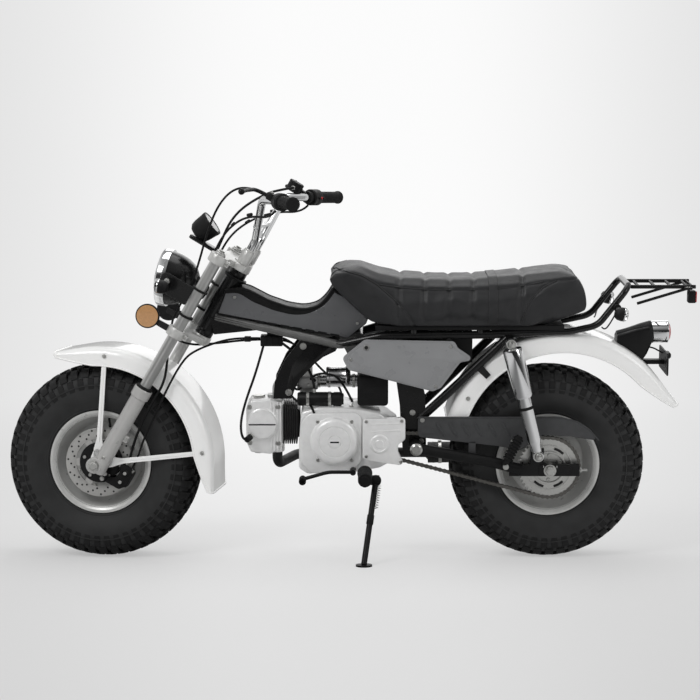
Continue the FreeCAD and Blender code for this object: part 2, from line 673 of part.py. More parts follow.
def fork_cables():
    """The brake hose, and the clutch cable, the wheel's sensor lead and both switch looms."""
    r, hose_r = float(size("cable_radius")), float(size("hose_radius"))
    foot = -float(AXLE_DROP) + 36
    hose = cable([(-11, 191.4, 268), (-24, 172, 258), (-66, 138, 218), (-104, 78, 132), (-93, 72, 31),
                  (-82, 66, -60), (-78, 45, -150), (-76, 0, -186), (-76, -45, -202), (-62, -80, -240),
                  (-30, -98, -290), (-10, -112, -340), (-12, -114, -400), (-8, -112, -480),
                  (2, -100, -545), (8, -85, -572), (8, -84, foot + 0.3)], hose_r)
    keep(feature(hose), "brake_hose", FORK)
    clutch = cable([(-3.4, -224, 259), (-40, -206, 257), (-98, -166, 226), (-124, -104, 152), (-116, -66, 60),
                    (-98, -64, -10), (-84, -66, -80), (-88, -50, -150), (-88, -34, -200), (-70, -18, -232),
                    (-30, 0, -242), (8, 8, -244)], r)
    sensor = cable([(26, -84, foot + 0.3), (26, -88, foot + 34), (16, -106, -500), (12, -112, -425),
                    (4, -112, -340), (0, -90, -270), (4, -50, -236), (8, -20, -227)], r)
    looms = []
    for s in SIDES.values():
        looms.append(cable([(41, 262 * s, 239.4), (36, 248 * s, 214), (-15, 190 * s, 188),
                            (-52, 125 * s, 150), (-78, 62 * s, 90), (-78, 42 * s, 20), (-64, 22 * s, -40),
                            (-79.6, 8 * s, -70.6)], r))
    keep(feature(Part.Compound([clutch, sensor] + looms)), "fork_cables", FORK)


def frame_cables():
    """The same lead and cable from under the steering head on, and the throttle cable."""
    r = float(size("cable_radius"))
    start = STEER_FRAME.multVec(V(26, -20, -222))
    lead = cable([tuple(start), (-297, -22, 604), (-239, -16, 615), (-178.8, -8, 612)], r)
    start = STEER_FRAME.multVec(V(26, 10, -232))
    clutch = cable([tuple(start), (-290, 18, 594), (-235, 28, 600), (-150, 34, 602), (-96, 36, 596),
                    (-50, 40, 560), (-18, 50, 520), (20, 72, 480), (44, 94, 446), (46, 95, 415.6)], r)
    throttle = cable([(-116.1, -6, 612), (-94, -8, 603), (-70, -10, 578), (-60, -8, 534.8)], r)
    keep(feature(Part.Compound([lead, clutch, throttle])), "frame_cables")


def spine():
    """The pressed spine, wrapped round the steering head and seated on the rails and a cross tube."""
    hx, hz = size("head_x"), size("head_z")
    body = plate([(hx - 29, hz - 32.5), (hx + 22, hz - 24.5), (hx + 88, hz - 59.5), (hx + 139, hz - 75.5),
                  (-57, 700), (-18, 712), (6, 733), (22, 752), (48, 708), SPINE_HEEL, SPINE_FOOT,
                  (hx - 52, hz - 99)], size("spine_half_width") * 2, 0, "Spine")
    neck = rod(size("head_radius") + 0.3, size("head_length") + 20, V(0, 0, 10), -AXIS_Z)
    neck.Placement = STEER_FRAME.multiply(neck.Placement)
    keep(cut(body, neck), "spine")


def frame():
    """Head tube, rails, uprights and engine hanger, welded into one piece."""
    rail_r, gap = float(size("rail_radius")), float(size("rail_half_gap"))
    flare = float(size("loop_half_gap"))
    bend = V(size("rail_bend_x"), 62, size("rail_bend_z"))
    gusset = plate([(RAIL_FRONT.x - 14, RAIL_FRONT.z), (RAIL_FRONT.x - 2, RAIL_FRONT.z - 48), (-186, 638),
                    (-110, 634), (-200, 650)], 60, 0, "Gusset")
    neck = rod(size("head_radius"), size("head_length"), V(), -AXIS_Z)
    neck.Placement = STEER_FRAME.multiply(neck.Placement)
    hollow = rod(size("stem_radius") + size("stem_play"), size("head_length"), V(), -AXIS_Z)
    hollow.Placement = STEER_FRAME.multiply(hollow.Placement)
    rail = tube([(RAIL_FRONT.x, 22, RAIL_FRONT.z), tuple(bend), (150, gap, RAIL_Z - 4), (430, gap, RAIL_Z),
                 (520, flare, RAIL_Z + 4), (LOOP_X, flare, RAIL_Z + 6)], rail_r, [70, 90, 120, 120])
    brace = tube([(492, gap + 8, RAIL_Z - 8), (309, gap - 4, 450), (256, UPRIGHT_Y, 400)], 12, [80])
    heel, foot = V(SPINE_HEEL[0], 0, SPINE_HEEL[1]), V(SPINE_FOOT[0], 0, SPINE_FOOT[1])
    below = (heel - foot).cross(AXIS_Y).normalize() * -(rail_r + 0.3)
    seat_of_spine = (heel + foot) / 2 + (below if below.z < 0 else -below)
    crosses = [disc_y(rail_r, -gap + 6, gap - 6, seat_of_spine.x, seat_of_spine.z),
               disc_y(rail_r, -gap, gap, 440, RAIL_Z)]
    uprights, hangers, studs, hinges = [], [], [], []
    for s in SIDES.values():
        uprights.append(plate([(176, RAIL_Z - 4), (232, RAIL_Z - 4), (272, 470), (276, 318), (247, 296),
                               (212, 300), (206, 420)], 8, UPRIGHT_Y * s, "Upright"))
        hangers.append(plate([(-24, 617), (40, 604), (28, 584), (-30, 556), (-72, 512), (-92, 452),
                              (-142, 452), (-138, 500), (-110, 560), (-66, 616)], 6, 51 * s, "Hanger"))
        studs.append(disc_y(8, flare * s, (size("shock_half_gap") + 16) * s,
                            size("shock_top_x"), size("shock_top_z")))
        studs.append(disc_y(13, (flare - 4) * s, (size("shock_half_gap") - 28.3) * s,
                            size("shock_top_x"), size("shock_top_z")))
    bolts = [disc_y(6, -54, 54, -100, 470), disc_y(10, -54, 54, -60, 598)]
    pivot = disc_y(size("arm_radius") + 3.05, -120, 120, size("pivot_x"), size("pivot_z"))
    pads = [rod(10, 16.7, V(x, y, RAIL_Z + 4), AXIS_Z) for x in (240, 420) for y in (-gap, gap)]
    lugs = [disc_y(8, gap * s, (gap + rail_r) * s, x, RAIL_Z - 16)
            for x in (190, 335) for s in SIDES.values()]
    for s in SIDES.values():
        # The rear fender is bolted to a lug welded under each brace
        lugs.append(plate([(421, 559), (406.5, 545), (437, 516), (449, 527)], 3,
                          (size("fender_half_width") + 1.8) * s, "Lug"))
    for x in HINGES:
        hinges.append(rod(4, 32, V(x - 8, SEAT_HINGE.y, SEAT_HINGE.z), AXIS_X))
        for start in (x - 8, x + 16.3):
            hinges.append(rod(7, 7.7, V(start, SEAT_HINGE.y, SEAT_HINGE.z), AXIS_X))
            hinges.append(span(start, start + 7.7, gap, SEAT_HINGE.y, RAIL_Z + 4, RAIL_Z + 16))
    whole = fuse(gusset, neck, feature(both(rail)), feature(both(brace)), *crosses, *uprights, *hangers,
                 *bolts, *studs, *pads, *lugs, *hinges)
    keep(cut(whole, hollow, pivot), "frame")


def rear_suspension():
    arm_r, gap = size("arm_radius"), size("arm_half_gap")
    axle_x, axle_z = REAR_AXLE.x, REAR_AXLE.z
    arm = tube([(size("pivot_x"), gap, size("pivot_z")), (455, gap, 292), (530, gap, axle_z + 2)],
               float(arm_r), [150])
    cross = disc_y(arm_r + 3, -gap - arm_r, gap + arm_r, size("pivot_x"), size("pivot_z"))
    pieces = [feature(both(arm)), cross]
    holes = []
    for s in SIDES.values():
        y0, y1 = sorted((gap * s - 5, gap * s + 5))
        pieces.append(span(500, 690, y0, y1, axle_z - 16, axle_z + 16))
        low_x, low_z = size("shock_low_x"), size("shock_low_z")
        pieces.append(span(low_x - 18, low_x + 18, y0, y1, axle_z, low_z + 14))
        pieces.append(disc_y(8, gap * s, (size("shock_half_gap") + 16) * s, low_x, low_z))
        holes.append(disc_y(size("axle_radius") + 0.05, gap * s - 6, gap * s + 6, axle_x, axle_z))
    keep(cut(fuse(*pieces), *holes), "swingarm")
    shocks = []
    top = V(size("shock_top_x"), 0, size("shock_top_z"))
    low = V(size("shock_low_x"), 0, size("shock_low_z"))
    reach = (low - top).Length
    down = (low - top).normalize()
    for s in SIDES.values():
        off = V(0, size("shock_half_gap") * s, 0)
        y0, y1 = sorted((size("shock_half_gap") * s - 12, size("shock_half_gap") * s + 12))
        pieces = [disc_y(15, y0, y1, top.x, top.z), disc_y(15, y0, y1, low.x, low.z),
                  rod(size("shock_cover_radius"), 140, top + off + down * 10, down),
                  rod(size("shock_body_radius"), reach - 20, top + off + down * 10, down)]
        holes = [disc_y(8.05, y0 - 9, y1 + 9, top.x, top.z), disc_y(8.05, y0 - 9, y1 + 9, low.x, low.z)]
        shocks.append(cut(fuse(*pieces), *holes))
    keep(pair(*shocks), "shock_absorbers")
    left, right = size("chain_offset") + 3.3, size("hub_half_width") + 0.3
    pin = disc_y(size("axle_radius"), -gap - 22, gap + 22, axle_x, axle_z)
    collars = [disc_y(13, -gap + 5.3, -left, axle_x, axle_z), disc_y(13, right, gap - 5.3, axle_x, axle_z)]
    heads = [disc_y(13, (gap + 5.3) * s, (gap + 16) * s, axle_x, axle_z) for s in SIDES.values()]
    keep(fuse(pin, *collars, *heads), "rear_axle")


def engine():
    case = plate([(-72, 262), (-50, 247), (60, 247), (110, 256), (150, 264), (200, 292), (198, 380),
                  (150, 416), (100, 426), (50, 432), (-20, 432), (-66, 420), (-72, 330)], 170, 0, "Case")
    left = disc_y(63, -112, -85, size("crank_x"), size("crank_z"))
    right = disc_y(70, 85, 104, size("crank_x") + 20, size("crank_z") + 2)
    sprocket = disc_y(pitch_radius("front_teeth") - size("chain_height") / 2 - 0.3, -104, -85,
                      size("engine_shaft_x"), size("engine_shaft_z"))
    keep(fuse(case, left, right, sprocket), "crankcase")
    barrel = span(-114, -72, -36, 36, 340, 418)
    fins = [span(x, x + 4, -54, 54, 324, 434) for x in range(-112, -76, 9)]
    keep(fuse(barrel, *fins), "cylinder")
    head = plate([(-218, 330), (-206, 300), (-150, 294), (-114, 320), (-114, 438), (-150, 448),
                  (-206, 444), (-218, 420)], 96, 0, "Head")
    port = disc_y(40, -62, 62, -173, 381)
    inlet = rod(18, 22, V(-134, 0, 426.7), AXIS_Z)
    outlet = rod(20, 24, V(-134, 0, 293.3), AXIS_Z)
    keep(fuse(head, port, inlet, outlet), "cylinder_head")
    cover = plate([(102, 300), (102, 409), (218, 413), (218, 352), (198, 338), (198, 320), (218, 279),
                   (124, 292)], 6, -117, "Cover")
    posts = [disc_y(7, -114, -85, x, z) for x, z in ((112, 402), (112, 306))]
    hub = disc_y(25, -123, -112, size("engine_shaft_x"), size("engine_shaft_z"))
    keep(fuse(cover, *posts, hub), "sprocket_cover")
    keep(rod(19, 126, V(-76, -52, 451.3), AXIS_X), "starter_motor")
    carb = fuse(span(-78, -20, -24, 24, 470, 508), span(-85, -34, -24, 24, 503, 534),
                rod(17, 108, V(-20, 0, 492), AXIS_X))
    manifold = feature(tube([(-78, 0, 489), (-134, 0, 489), (-134, 0, 449)], 13, [22]))
    keep(fuse(carb, manifold), "carburettor")
    keep(span(88, 172, -70, 70, 434, 520), "air_box")
    pipe = feature(tube([(-134, 0, 293), (-134, 0, 256), (-78, 121, 259), (180, 124, 260), (290, 184, 246)],
                        14, [22, 45, 60]))
    muffler = rod(30, 250, V(290, 184, 246), V(250, 0, 4))
    keep(fuse(pipe, muffler), "exhaust")


def chain_drive():
    """The chain as one closed band of plates round both sprockets, and its guard."""
    front, rear = pitch_radius("front_teeth"), pitch_radius("rear_teeth")
    a = V(size("engine_shaft_x"), 0, size("engine_shaft_z"))
    b = V(REAR_AXLE.x, 0, REAR_AXLE.z)
    heading = math.atan2((b - a).z, (b - a).x)
    spread = math.acos((front - rear) / (b - a).Length)
    run = (b - a).Length * math.sin(spread)
    # Stretches of the pitch line in order: upper run, rear sprocket, lower run, engine sprocket
    lengths = [run, rear * 2 * spread, run, front * 2 * (math.pi - spread)]
    links = 2 * round(sum(lengths) / float(size("chain_pitch")) / 2)

    def radial(angle):
        return V(math.cos(angle), 0, math.sin(angle))

    def pitch_point(s):
        """A point of the pitch line a distance along it, and the direction out of the loop."""
        upper, lower = radial(heading + spread), radial(heading - spread)
        if s <= lengths[0]:
            return a + upper * front + (b + upper * rear - a - upper * front) * (s / run), upper
        s -= lengths[0]
        if s <= lengths[1]:
            out = radial(heading + spread - s / rear)
            return b + out * rear, out
        s -= lengths[1]
        if s <= lengths[2]:
            return b + lower * rear + (a + lower * front - b - lower * rear) * (s / run), lower
        out = radial(heading - spread - (s - lengths[2]) / front)
        return a + out * front, out

    def edge(offset):
        """An outline of the band, wide at each pin and waisted between two pins."""
        waist = offset * 0.5
        points = []
        for i in range(links):
            for part, reach in ((0, offset), (0.5, waist)):
                at, out = pitch_point((i + part) * sum(lengths) / links)
                points.append(at + out * reach)
        return Part.Face(Part.makePolygon(points + points[:1]))

    half, width = float(size("chain_height")) / 2, float(size("chain_width"))
    band = edge(half).cut(edge(-half)).extrude(V(0, width, 0))
    band.translate(V(0, -float(size("chain_offset")) - width / 2, 0))
    keep(feature(band), "chain")
    guard = plate([(252, 413), (642, 413), (710, 387), (748, 345), (664, 358), (593, 362), (530, 320),
                   (468, 331), (252, 356)], 3, -107.8, "Guard")
    top = block(390, 12, 3, V(252, -109.3, 410))
    tab = span(390, 410, -109.3, -106.3, 300, 345)
    stud = disc_y(6, -112.7, -107, 400, 303)
    keep(fuse(guard, top, tab, stud), "chain_guard")


def bodywork():
    gap, rail_r = size("rail_half_gap"), size("rail_radius")
    cover_y = gap + rail_r + 2.8
    top = RAIL_Z - 16
    covers = []
    for s in SIDES.values():
        covers.append(plate([(46, top - 45), (108, top + 5), (350, top), (359, top - 18), (406, top - 50),
                             (366, top - 58), (314, top - 128), (292, top - 138), (64, top - 79)],
                            5, cover_y * s, "Cover"))
    keep(pair(*covers), "side_covers")
    b = SEAT_BASE
    cushion = plate([(5, b + 137), (22, b + 157), (55, b + 166), (84, b + 162), (144, b + 139),
                     (204, b + 127), (303, b + 122), (377, b + 122), (452, b + 127), (551, b + 137),
                     (650, b + 149),
                     (680, b + 152), (705, b + 104), (712, b + 60), (710, b + 47), (650, b + 27), (551, b),
                     (200, b), (154, b + 10), (119, b + 15), (99, b + 35), (55, b + 75), (20, b + 114)],
                    size("seat_half_width") * 2, 0, "Seat")
    doc.recompute()
    edges = []
    for i, e in enumerate(cushion.Shape.Edges, start=1):
        middle = e.CenterOfMass
        lengthwise = abs(e.tangentAt(e.FirstParameter).y) < 0.5
        if lengthwise and middle.z > b + 60:
            edges.append((i, float(size("seat_edge")), float(size("seat_edge"))))
    rounded = doc.addObject("Part::Fillet", "Rounded")
    rounded.Base = cushion
    rounded.Edges = edges
    knuckles = [rod(9, 16, V(x, SEAT_HINGE.y, SEAT_HINGE.z), AXIS_X) for x in HINGES]
    bores = [rod(4.05, 20, V(x - 2, SEAT_HINGE.y, SEAT_HINGE.z), AXIS_X) for x in HINGES]
    keep(cut(fuse(rounded, *knuckles), *bores), "seat")
    lip = gap - rail_r - 0.3
    tank = fuse(span(160, 400, -68, 68, RAIL_Z - 80, RAIL_Z + 4),
                span(260, 360, -lip, lip, RAIL_Z - 6, RAIL_Z + 2),
                rod(25, 12, V(250, 0, RAIL_Z + 4), AXIS_Z))
    keep(tank, "fuel_tank")
    fender = fender_body(size("tyre_radius") + size("rear_fender_gap"), 23, 164)
    keep(fender, "rear_fender", Place(REAR_FENDER, Turn()))
    keep(fuse(span(-178, -117, -20, 20, 591, 620), span(-160, -136, -12, 12, 612, 635)), "electrics_box")


def rear_fittings():
    flare, loop_r = float(size("loop_half_gap")), float(size("loop_radius"))
    low = V(size("loop_low_x"), 0, size("loop_low_z"))
    high = V(size("loop_top_x"), 0, size("loop_top_z"))
    start = (LOOP_X + 0.3, RAIL_Z + 6)
    side = [start, (660, RAIL_Z + 9), (low.x, low.z), (high.x, high.z)]
    route = [(x, -flare, z) for x, z in side] + [(x, flare, z) for x, z in reversed(side)]
    keep(feature(tube(route, loop_r, [120, 60, 30, 30, 60, 120])), "grab_loop")
    rack()

    # The lamp's arm sits on the fender, at an angle up from the rear
    seat_angle = math.radians(62)
    radius = float(size("tyre_radius") + size("rear_fender_gap")) + 0.3
    foot = REAR_FENDER + V(radius * math.cos(seat_angle), 0, radius * math.sin(seat_angle))
    arc = disc_y(radius, -60, 60, REAR_FENDER.x, REAR_FENDER.z)
    arm = plate([(foot.x - 6, foot.z + 22), (foot.x + 92, foot.z + 50), (foot.x + 98, foot.z + 4),
                 (foot.x + 77, foot.z - 32), (foot.x + 64, foot.z - 52), (foot.x + 39, foot.z - 42),
                 (foot.x - 6, foot.z - 12)], 70, 0, "Arm")
    lamp = rod(30, 52, V(foot.x + 93, 0, foot.z + 27), AXIS_X)
    plate_top = V(foot.x + 126, 0, foot.z - 22)
    bracket = fuse(block(4, 150, 62, plate_top + V(0, -75, -62)),
                   span(foot.x + 66, plate_top.x + 2, -14, 14, foot.z - 40, foot.z - 28))
    screw = size("screw_bore")
    bores = []
    for s in SIDES.values():
        bores.append(rod(screw, 10, plate_top + V(-3, 60 * s, -28), AXIS_X))
        MOUNT_PLACES.append(("plate_" + ("left" if s < 0 else "right"), Place(),
                             plate_top + V(2, 60 * s, -28), AXIS_X))
    keep(cut(fuse(arm, lamp, bracket), arc, *bores), "tail_lamp")
    lamps = []
    middle = (low + high) / 2
    for s in SIDES.values():
        stalk = disc_y(6, (flare + loop_r + 0.3) * s, 130 * s, middle.x + 9, middle.z - 3)
        lamps.append(fuse(stalk, disc_y(24, 128 * s, 172 * s, middle.x + 15, middle.z - 13)))
    keep(pair(*lamps), "rear_indicators")
    pegs = []
    for s in SIDES.values():
        peg = rod(12, 88, V(525, 158 * s, 370), V(-38, 0, -76))
        pegs.append(fuse(peg, disc_y(8, 143.4 * s, 158 * s, 488, 287)))
    keep(pair(*pegs), "passenger_pegs")
    gear = fuse(feature(tube([(76, -121, 262), (8, -121, 262), (-61, -121, 242)], 5, [100])),
                disc_y(9, -152, -113, -61, 242), disc_y(8, -128, -85.3, 76, 262))
    keep(gear, "gear_pedal")
    brake = fuse(feature(tube([(66, 143, 236), (10, 143, 234), (-40, 143, 248)], 5, [100])),
                 disc_y(9, 136, 182, -40, 248), disc_y(8, 134.3, 152, 66, 236))
    keep(brake, "brake_pedal")


def rack():
    """Two flat side rails with cross rods, strap tabs, a brace to the loop and a reflector's block."""
    x0 = size("loop_top_x") + size("loop_radius") + 0.3
    x1 = x0 + size("rack_length")
    level, half = size("loop_top_z") - 6, 60
    strap_r = size("strap_bore")
    pieces, bores = [], []
    for s in SIDES.values():
        y0, y1 = sorted((half * s, (half - 8) * s))
        pieces.append(span(x0, x1, y0, y1, level - 5, level + 5))
        tab0, tab1 = sorted(((half - 1) * s, (half + 20) * s))
        pieces.append(span(x1 - 34, x1 - 12, tab0, tab1, level - 5, level + 1))
        bores.append(rod(strap_r, 12, V(x1 - 23, (half + 10) * s, level - 8), AXIS_Z))
        MOUNT_PLACES.append(("rack_" + ("left" if s < 0 else "right"), Place(),
                             V(x1 - 23, (half + 10) * s, level - 2), AXIS_Z))
        strut = rod(4, 148, V(x1 - 20, (half - 4) * s, level - 4), V(-138, 0, -42))
        pieces.append(strut)
    for i in range(4):
        pieces.append(disc_y(4, -half + 4, half - 4, x0 + 22 + 44 * i, level))
    pieces.append(span(x1 - 12, x1 + 12, -14, 14, level - 52, level - 18))
    pieces.append(span(x1 - 12, x1 - 8, -10, 10, level - 30, level + 5))
    pieces.append(span(x1 - 12, x1 - 8, -half + 4, half - 4, level - 5, level + 5))
    keep(cut(fuse(*pieces), *bores), "rear_rack")


# The side stand's hinge, its direction when down and its direction when folded back
STAND_AT = V(size("stand_pivot_x"), size("stand_pivot_y"), size("stand_pivot_z"))
SPREAD, AHEAD = math.radians(size("stand_spread")), math.radians(size("stand_forward"))
STAND_DOWN = V(-math.sin(AHEAD), -math.sin(SPREAD), -math.cos(SPREAD) * math.cos(AHEAD)).normalize()
STAND_BACK = V(217, -15, -28).normalize()
STAND_HINGE = STAND_DOWN.cross(STAND_BACK).normalize()


def footrests():
    """The footrest bar with its pegs, the side stand's bracket and the stand's pivot bolt."""
    bar = disc_y(10, -148, 148, 108, 235.7)
    parts = [bar, span(60, 108, 128, 134, 230, 242), span(100, 148, -98, -90, 220, 246)]
    for s in SIDES.values():
        parts.append(span(99, 117, min(142 * s, 148 * s), max(142 * s, 148 * s), 230, 267))
        parts.append(disc_y(18, 148 * s, 238 * s, 108, 267))
    inner = STAND_AT - STAND_HINGE * 5.3
    parts.append(rod(12, 7, inner, -STAND_HINGE))
    parts.append(rod(5, 22, inner - STAND_HINGE * 5, STAND_HINGE))
    parts.append(rod(9, 4, STAND_AT + STAND_HINGE * 5.3, STAND_HINGE))
    keep(fuse(*parts), "footrests")


def side_stand():
    up = LEAN.inverted().multVec(AXIS_Z)
    foot_r, foot_h, leg_r = 22, 5, float(size("stand_radius"))
    # The pivot's height over the road once the machine leans sets the leg's length
    height = LEAN.multVec(STAND_AT).z + GROUND_SHIFT
    length = (height - foot_h) / -LEAN.multVec(STAND_DOWN).z
    leg = rod(leg_r, length - 13, STAND_AT + STAND_DOWN * 13, STAND_DOWN)
    pad = rod(foot_r, foot_h, STAND_AT + STAND_DOWN * length - up * foot_h, up)
    head = rod(15, 10, STAND_AT - STAND_HINGE * 5, STAND_HINGE)
    bore = rod(5.05, 24, STAND_AT - STAND_HINGE * 12, STAND_HINGE)
    keep(cut(fuse(leg, pad, head), bore), "side_stand")


def finish():
    """Steers, leans and shifts every sub-part, checks it and writes its file."""
    doc.recompute()
    lean = Place(V(0, 0, GROUND_SHIFT), LEAN)
    for label, obj, at in made_parts:
        obj.Placement = lean.multiply(at).multiply(obj.Placement)
    doc.recompute()
    for obj in doc.Objects:
        if "Invalid" in obj.State or "Error" in obj.State:
            raise ValueError("%s failed: %s" % (obj.Label, obj.State))
    box = FreeCAD.BoundBox()
    for label, obj, at in made_parts:
        if obj.Shape.isNull() or not obj.Shape.isValid():
            raise ValueError(label + " has no valid shape")
        box.add(obj.Shape.optimalBoundingBox(False, False))
    centre = V(-(box.XMin + box.XMax) / 2, -(box.YMin + box.YMax) / 2, 0)
    os.makedirs("parts", exist_ok=True)
    for label, obj, at in made_parts:
        obj.Placement = Place(centre, Turn()).multiply(obj.Placement)
        obj.Shape.exportStep("parts/%s.step" % label)
    return centre


wheels()
fork()
front_fender()
controls()
fork_cables()
spine()
frame()
frame_cables()
rear_suspension()
engine()
chain_drive()
bodywork()
rear_fittings()
footrests()
side_stand()
CENTRE = finish()
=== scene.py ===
import json
import math
import bmesh
import bpy
from mathutils import Matrix, Vector
from mathutils.bvhtree import BVHTree

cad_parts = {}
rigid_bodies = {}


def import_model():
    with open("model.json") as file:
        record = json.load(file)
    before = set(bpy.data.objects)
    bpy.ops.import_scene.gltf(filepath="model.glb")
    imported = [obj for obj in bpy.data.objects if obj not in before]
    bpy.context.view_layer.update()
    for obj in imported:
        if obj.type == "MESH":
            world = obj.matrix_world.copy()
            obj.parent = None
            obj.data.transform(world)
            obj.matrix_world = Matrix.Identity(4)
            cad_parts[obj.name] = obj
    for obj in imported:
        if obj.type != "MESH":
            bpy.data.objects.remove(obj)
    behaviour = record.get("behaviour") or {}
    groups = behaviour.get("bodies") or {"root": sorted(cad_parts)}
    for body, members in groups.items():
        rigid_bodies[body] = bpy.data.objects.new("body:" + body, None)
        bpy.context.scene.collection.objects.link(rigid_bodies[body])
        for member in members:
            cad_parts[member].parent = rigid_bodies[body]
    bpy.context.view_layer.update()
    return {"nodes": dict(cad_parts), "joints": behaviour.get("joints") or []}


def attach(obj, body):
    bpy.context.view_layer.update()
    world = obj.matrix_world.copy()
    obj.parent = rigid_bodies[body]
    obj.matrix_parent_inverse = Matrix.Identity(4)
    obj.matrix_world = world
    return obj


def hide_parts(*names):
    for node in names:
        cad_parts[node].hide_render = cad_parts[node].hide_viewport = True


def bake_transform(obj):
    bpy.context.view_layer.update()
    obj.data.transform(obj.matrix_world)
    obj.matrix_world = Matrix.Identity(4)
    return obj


for leftover in list(bpy.data.objects):
    bpy.data.objects.remove(leftover)
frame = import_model()
print("frame loaded")

# Places: the machine's own upright frame, its fork and its wheels, all in millimetres, as matrices to the row
joints = {j["name"]: j for j in frame["joints"]}
machineSize = {"rearAxle": (610, 0, 270), "rake": 30}
toMetres = Matrix.Scale(0.001, 4)


def jointPlace(name):
    return Vector(joints[name]["pos_m"]), Vector(joints[name]["axis"]).normalized()


rearPoint, rearAcross = jointPlace("rear_wheel_spin")
frontPoint, frontAcross = jointPlace("front_wheel_spin")
steerPoint, steerUp = jointPlace("steering")
lean = math.atan2(rearAcross.z, rearAcross.y)
rearHub = Matrix.Translation(rearPoint) @ Matrix.Rotation(lean, 4, "X") @ toMetres
machine = rearHub @ Matrix.Translation(-Vector(machineSize["rearAxle"]))
forkTurn = Matrix((frontAcross.cross(steerUp), frontAcross, steerUp)).transposed().to_4x4()
fork = Matrix.Translation(steerPoint) @ forkTurn @ toMetres
frontHub = (Matrix.Translation(frontPoint) @ forkTurn
            @ Matrix.Rotation(math.radians(-machineSize["rake"]), 4, "Y") @ toMetres)
left, right = -1, 1
sides = (left, right)
acrossY, upZ, backX = Vector((0, 1, 0)), Vector((0, 0, 1)), Vector((1, 0, 0))
here = Matrix.Identity(4)
# Swaps Y and Z, so that a plate lies flat
lyingFlat = Matrix(((1, 0, 0, 0), (0, 0, 1, 0), (0, 1, 0, 0), (0, 0, 0, 1)))


# Shapes: each adds one form to a bmesh, in millimetres, and puts it in place
def facing(point, direction):
    # Z along a direction, at a point
    return Matrix.Translation(Vector(point)) @ Vector(direction).to_track_quat("Z", "Y").to_matrix().to_4x4()


def mirrorY(point, s):
    return Vector((point[0], point[1] * s, point[2]))


def rounded(outline, radius, steps=3, closed=True):
    # An outline with its corners turned into arcs, as wide as the sides beside them allow
    result = []
    count = len(outline)
    for i, corner in enumerate(outline):
        corner = Vector(corner)
        if not closed and i in (0, count - 1):
            result.append(corner)
            continue
        before, after = Vector(outline[i - 1]) - corner, Vector(outline[(i + 1) % count]) - corner
        half = before.angle(after) / 2
        if half > 1.5:
            result.append(corner)
            continue
        reach = min(radius / math.tan(half), before.length * 0.48, after.length * 0.48)
        bend = reach * math.tan(half)
        middle = corner + (before.normalized() + after.normalized()).normalized() * (bend / math.sin(half))
        start, end = corner + before.normalized() * reach - middle, corner + after.normalized() * reach - middle
        for k in range(steps + 1):
            result.append(middle + start.slerp(end, k / steps).normalized() * bend)
    return [tuple(p) for p in result]


def added(bm, shape, place, slot):
    # Joins a small shape to the rest, in its place, and frees it
    for face in shape.faces:
        face.material_index = slot
    bmesh.ops.transform(shape, matrix=place, verts=shape.verts)
    mesh = bpy.data.meshes.new("shape")
    shape.to_mesh(mesh)
    shape.free()
    count = len(bm.faces)
    bm.from_mesh(mesh)
    bpy.data.meshes.remove(mesh)
    bm.faces.ensure_lookup_table()
    return bm.faces[count:]


def turned(bm, profile, place, steps=48, slot=0):
    # A form turned about its own Z from (along, radius) corners
    shape = bmesh.new()
    verts = [shape.verts.new((r, 0, z)) for z, r in profile]
    edges = [shape.edges.new(pair) for pair in zip(verts, verts[1:])]
    bmesh.ops.spin(shape, geom=verts + edges, cent=(0, 0, 0), axis=(0, 0, 1), angle=math.tau,
                   steps=steps, use_merge=True, use_duplicate=False)
    bmesh.ops.remove_doubles(shape, verts=shape.verts, dist=0.001)
    bmesh.ops.recalc_face_normals(shape, faces=shape.faces)
    return added(bm, shape, place, slot)


def ringProfile(inner, outer, low, high, edge):
    # The closed section of a flat ring with softened corners
    section = rounded([(low, inner), (high, inner), (high, outer), (low, outer)], edge, 2)
    return section + section[:1]


def bevelled(shape, edges, width, steps):
    bmesh.ops.bevel(shape, geom=edges, offset=width, segments=steps, profile=0.5, affect="EDGES",
                    material=-1, clamp_overlap=True)


def prism(bm, outline, low, high, place, edge=0.0, steps=2, slot=0):
    # A plate across Y from an (x, z) outline, with its rims bevelled
    shape = bmesh.new()
    face = shape.faces.new([shape.verts.new((x, low, z)) for x, z in outline])
    made = bmesh.ops.extrude_face_region(shape, geom=[face])
    moved = [e for e in made["geom"] if isinstance(e, bmesh.types.BMVert)]
    bmesh.ops.translate(shape, verts=moved, vec=(0, high - low, 0))
    bmesh.ops.recalc_face_normals(shape, faces=shape.faces)
    if edge:
        flat = [f for f in shape.faces if abs(f.normal.y) > 0.9]
        bevelled(shape, list({e for f in flat for e in f.edges}), edge, steps)
    return added(bm, shape, place, slot)


def boxed(bm, low, high, place, edge=0.0, steps=2, slot=0):
    # A block between two corners with softened edges
    shape = bmesh.new()
    size = Vector(high) - Vector(low)
    middle = (Vector(high) + Vector(low)) / 2
    stretch = Matrix.Translation(middle) @ Matrix.Diagonal((abs(size.x), abs(size.y), abs(size.z), 1))
    bmesh.ops.create_cube(shape, size=1, matrix=stretch)
    if edge:
        bevelled(shape, shape.edges[:], edge, steps)
    return added(bm, shape, place, slot)


def rod(bm, start, end, radius, place, steps=24, edge=0.0, slot=0, bore=0.0):
    # A round bar or tube between two points
    start, end = Vector(start), Vector(end)
    length = (end - start).length
    if bore:
        profile = ringProfile(bore, radius, 0, length, edge)
    else:
        profile = [(0, 0), (0, radius - edge), (edge, radius), (length - edge, radius),
                   (length, radius - edge), (length, 0)]
    return turned(bm, profile, place @ facing(start, end - start), steps, slot)


def ball(bm, point, radius, place, slot=0):
    shape = bmesh.new()
    bmesh.ops.create_uvsphere(shape, u_segments=24, v_segments=14, radius=radius)
    return added(bm, shape, place @ Matrix.Translation(point), slot)


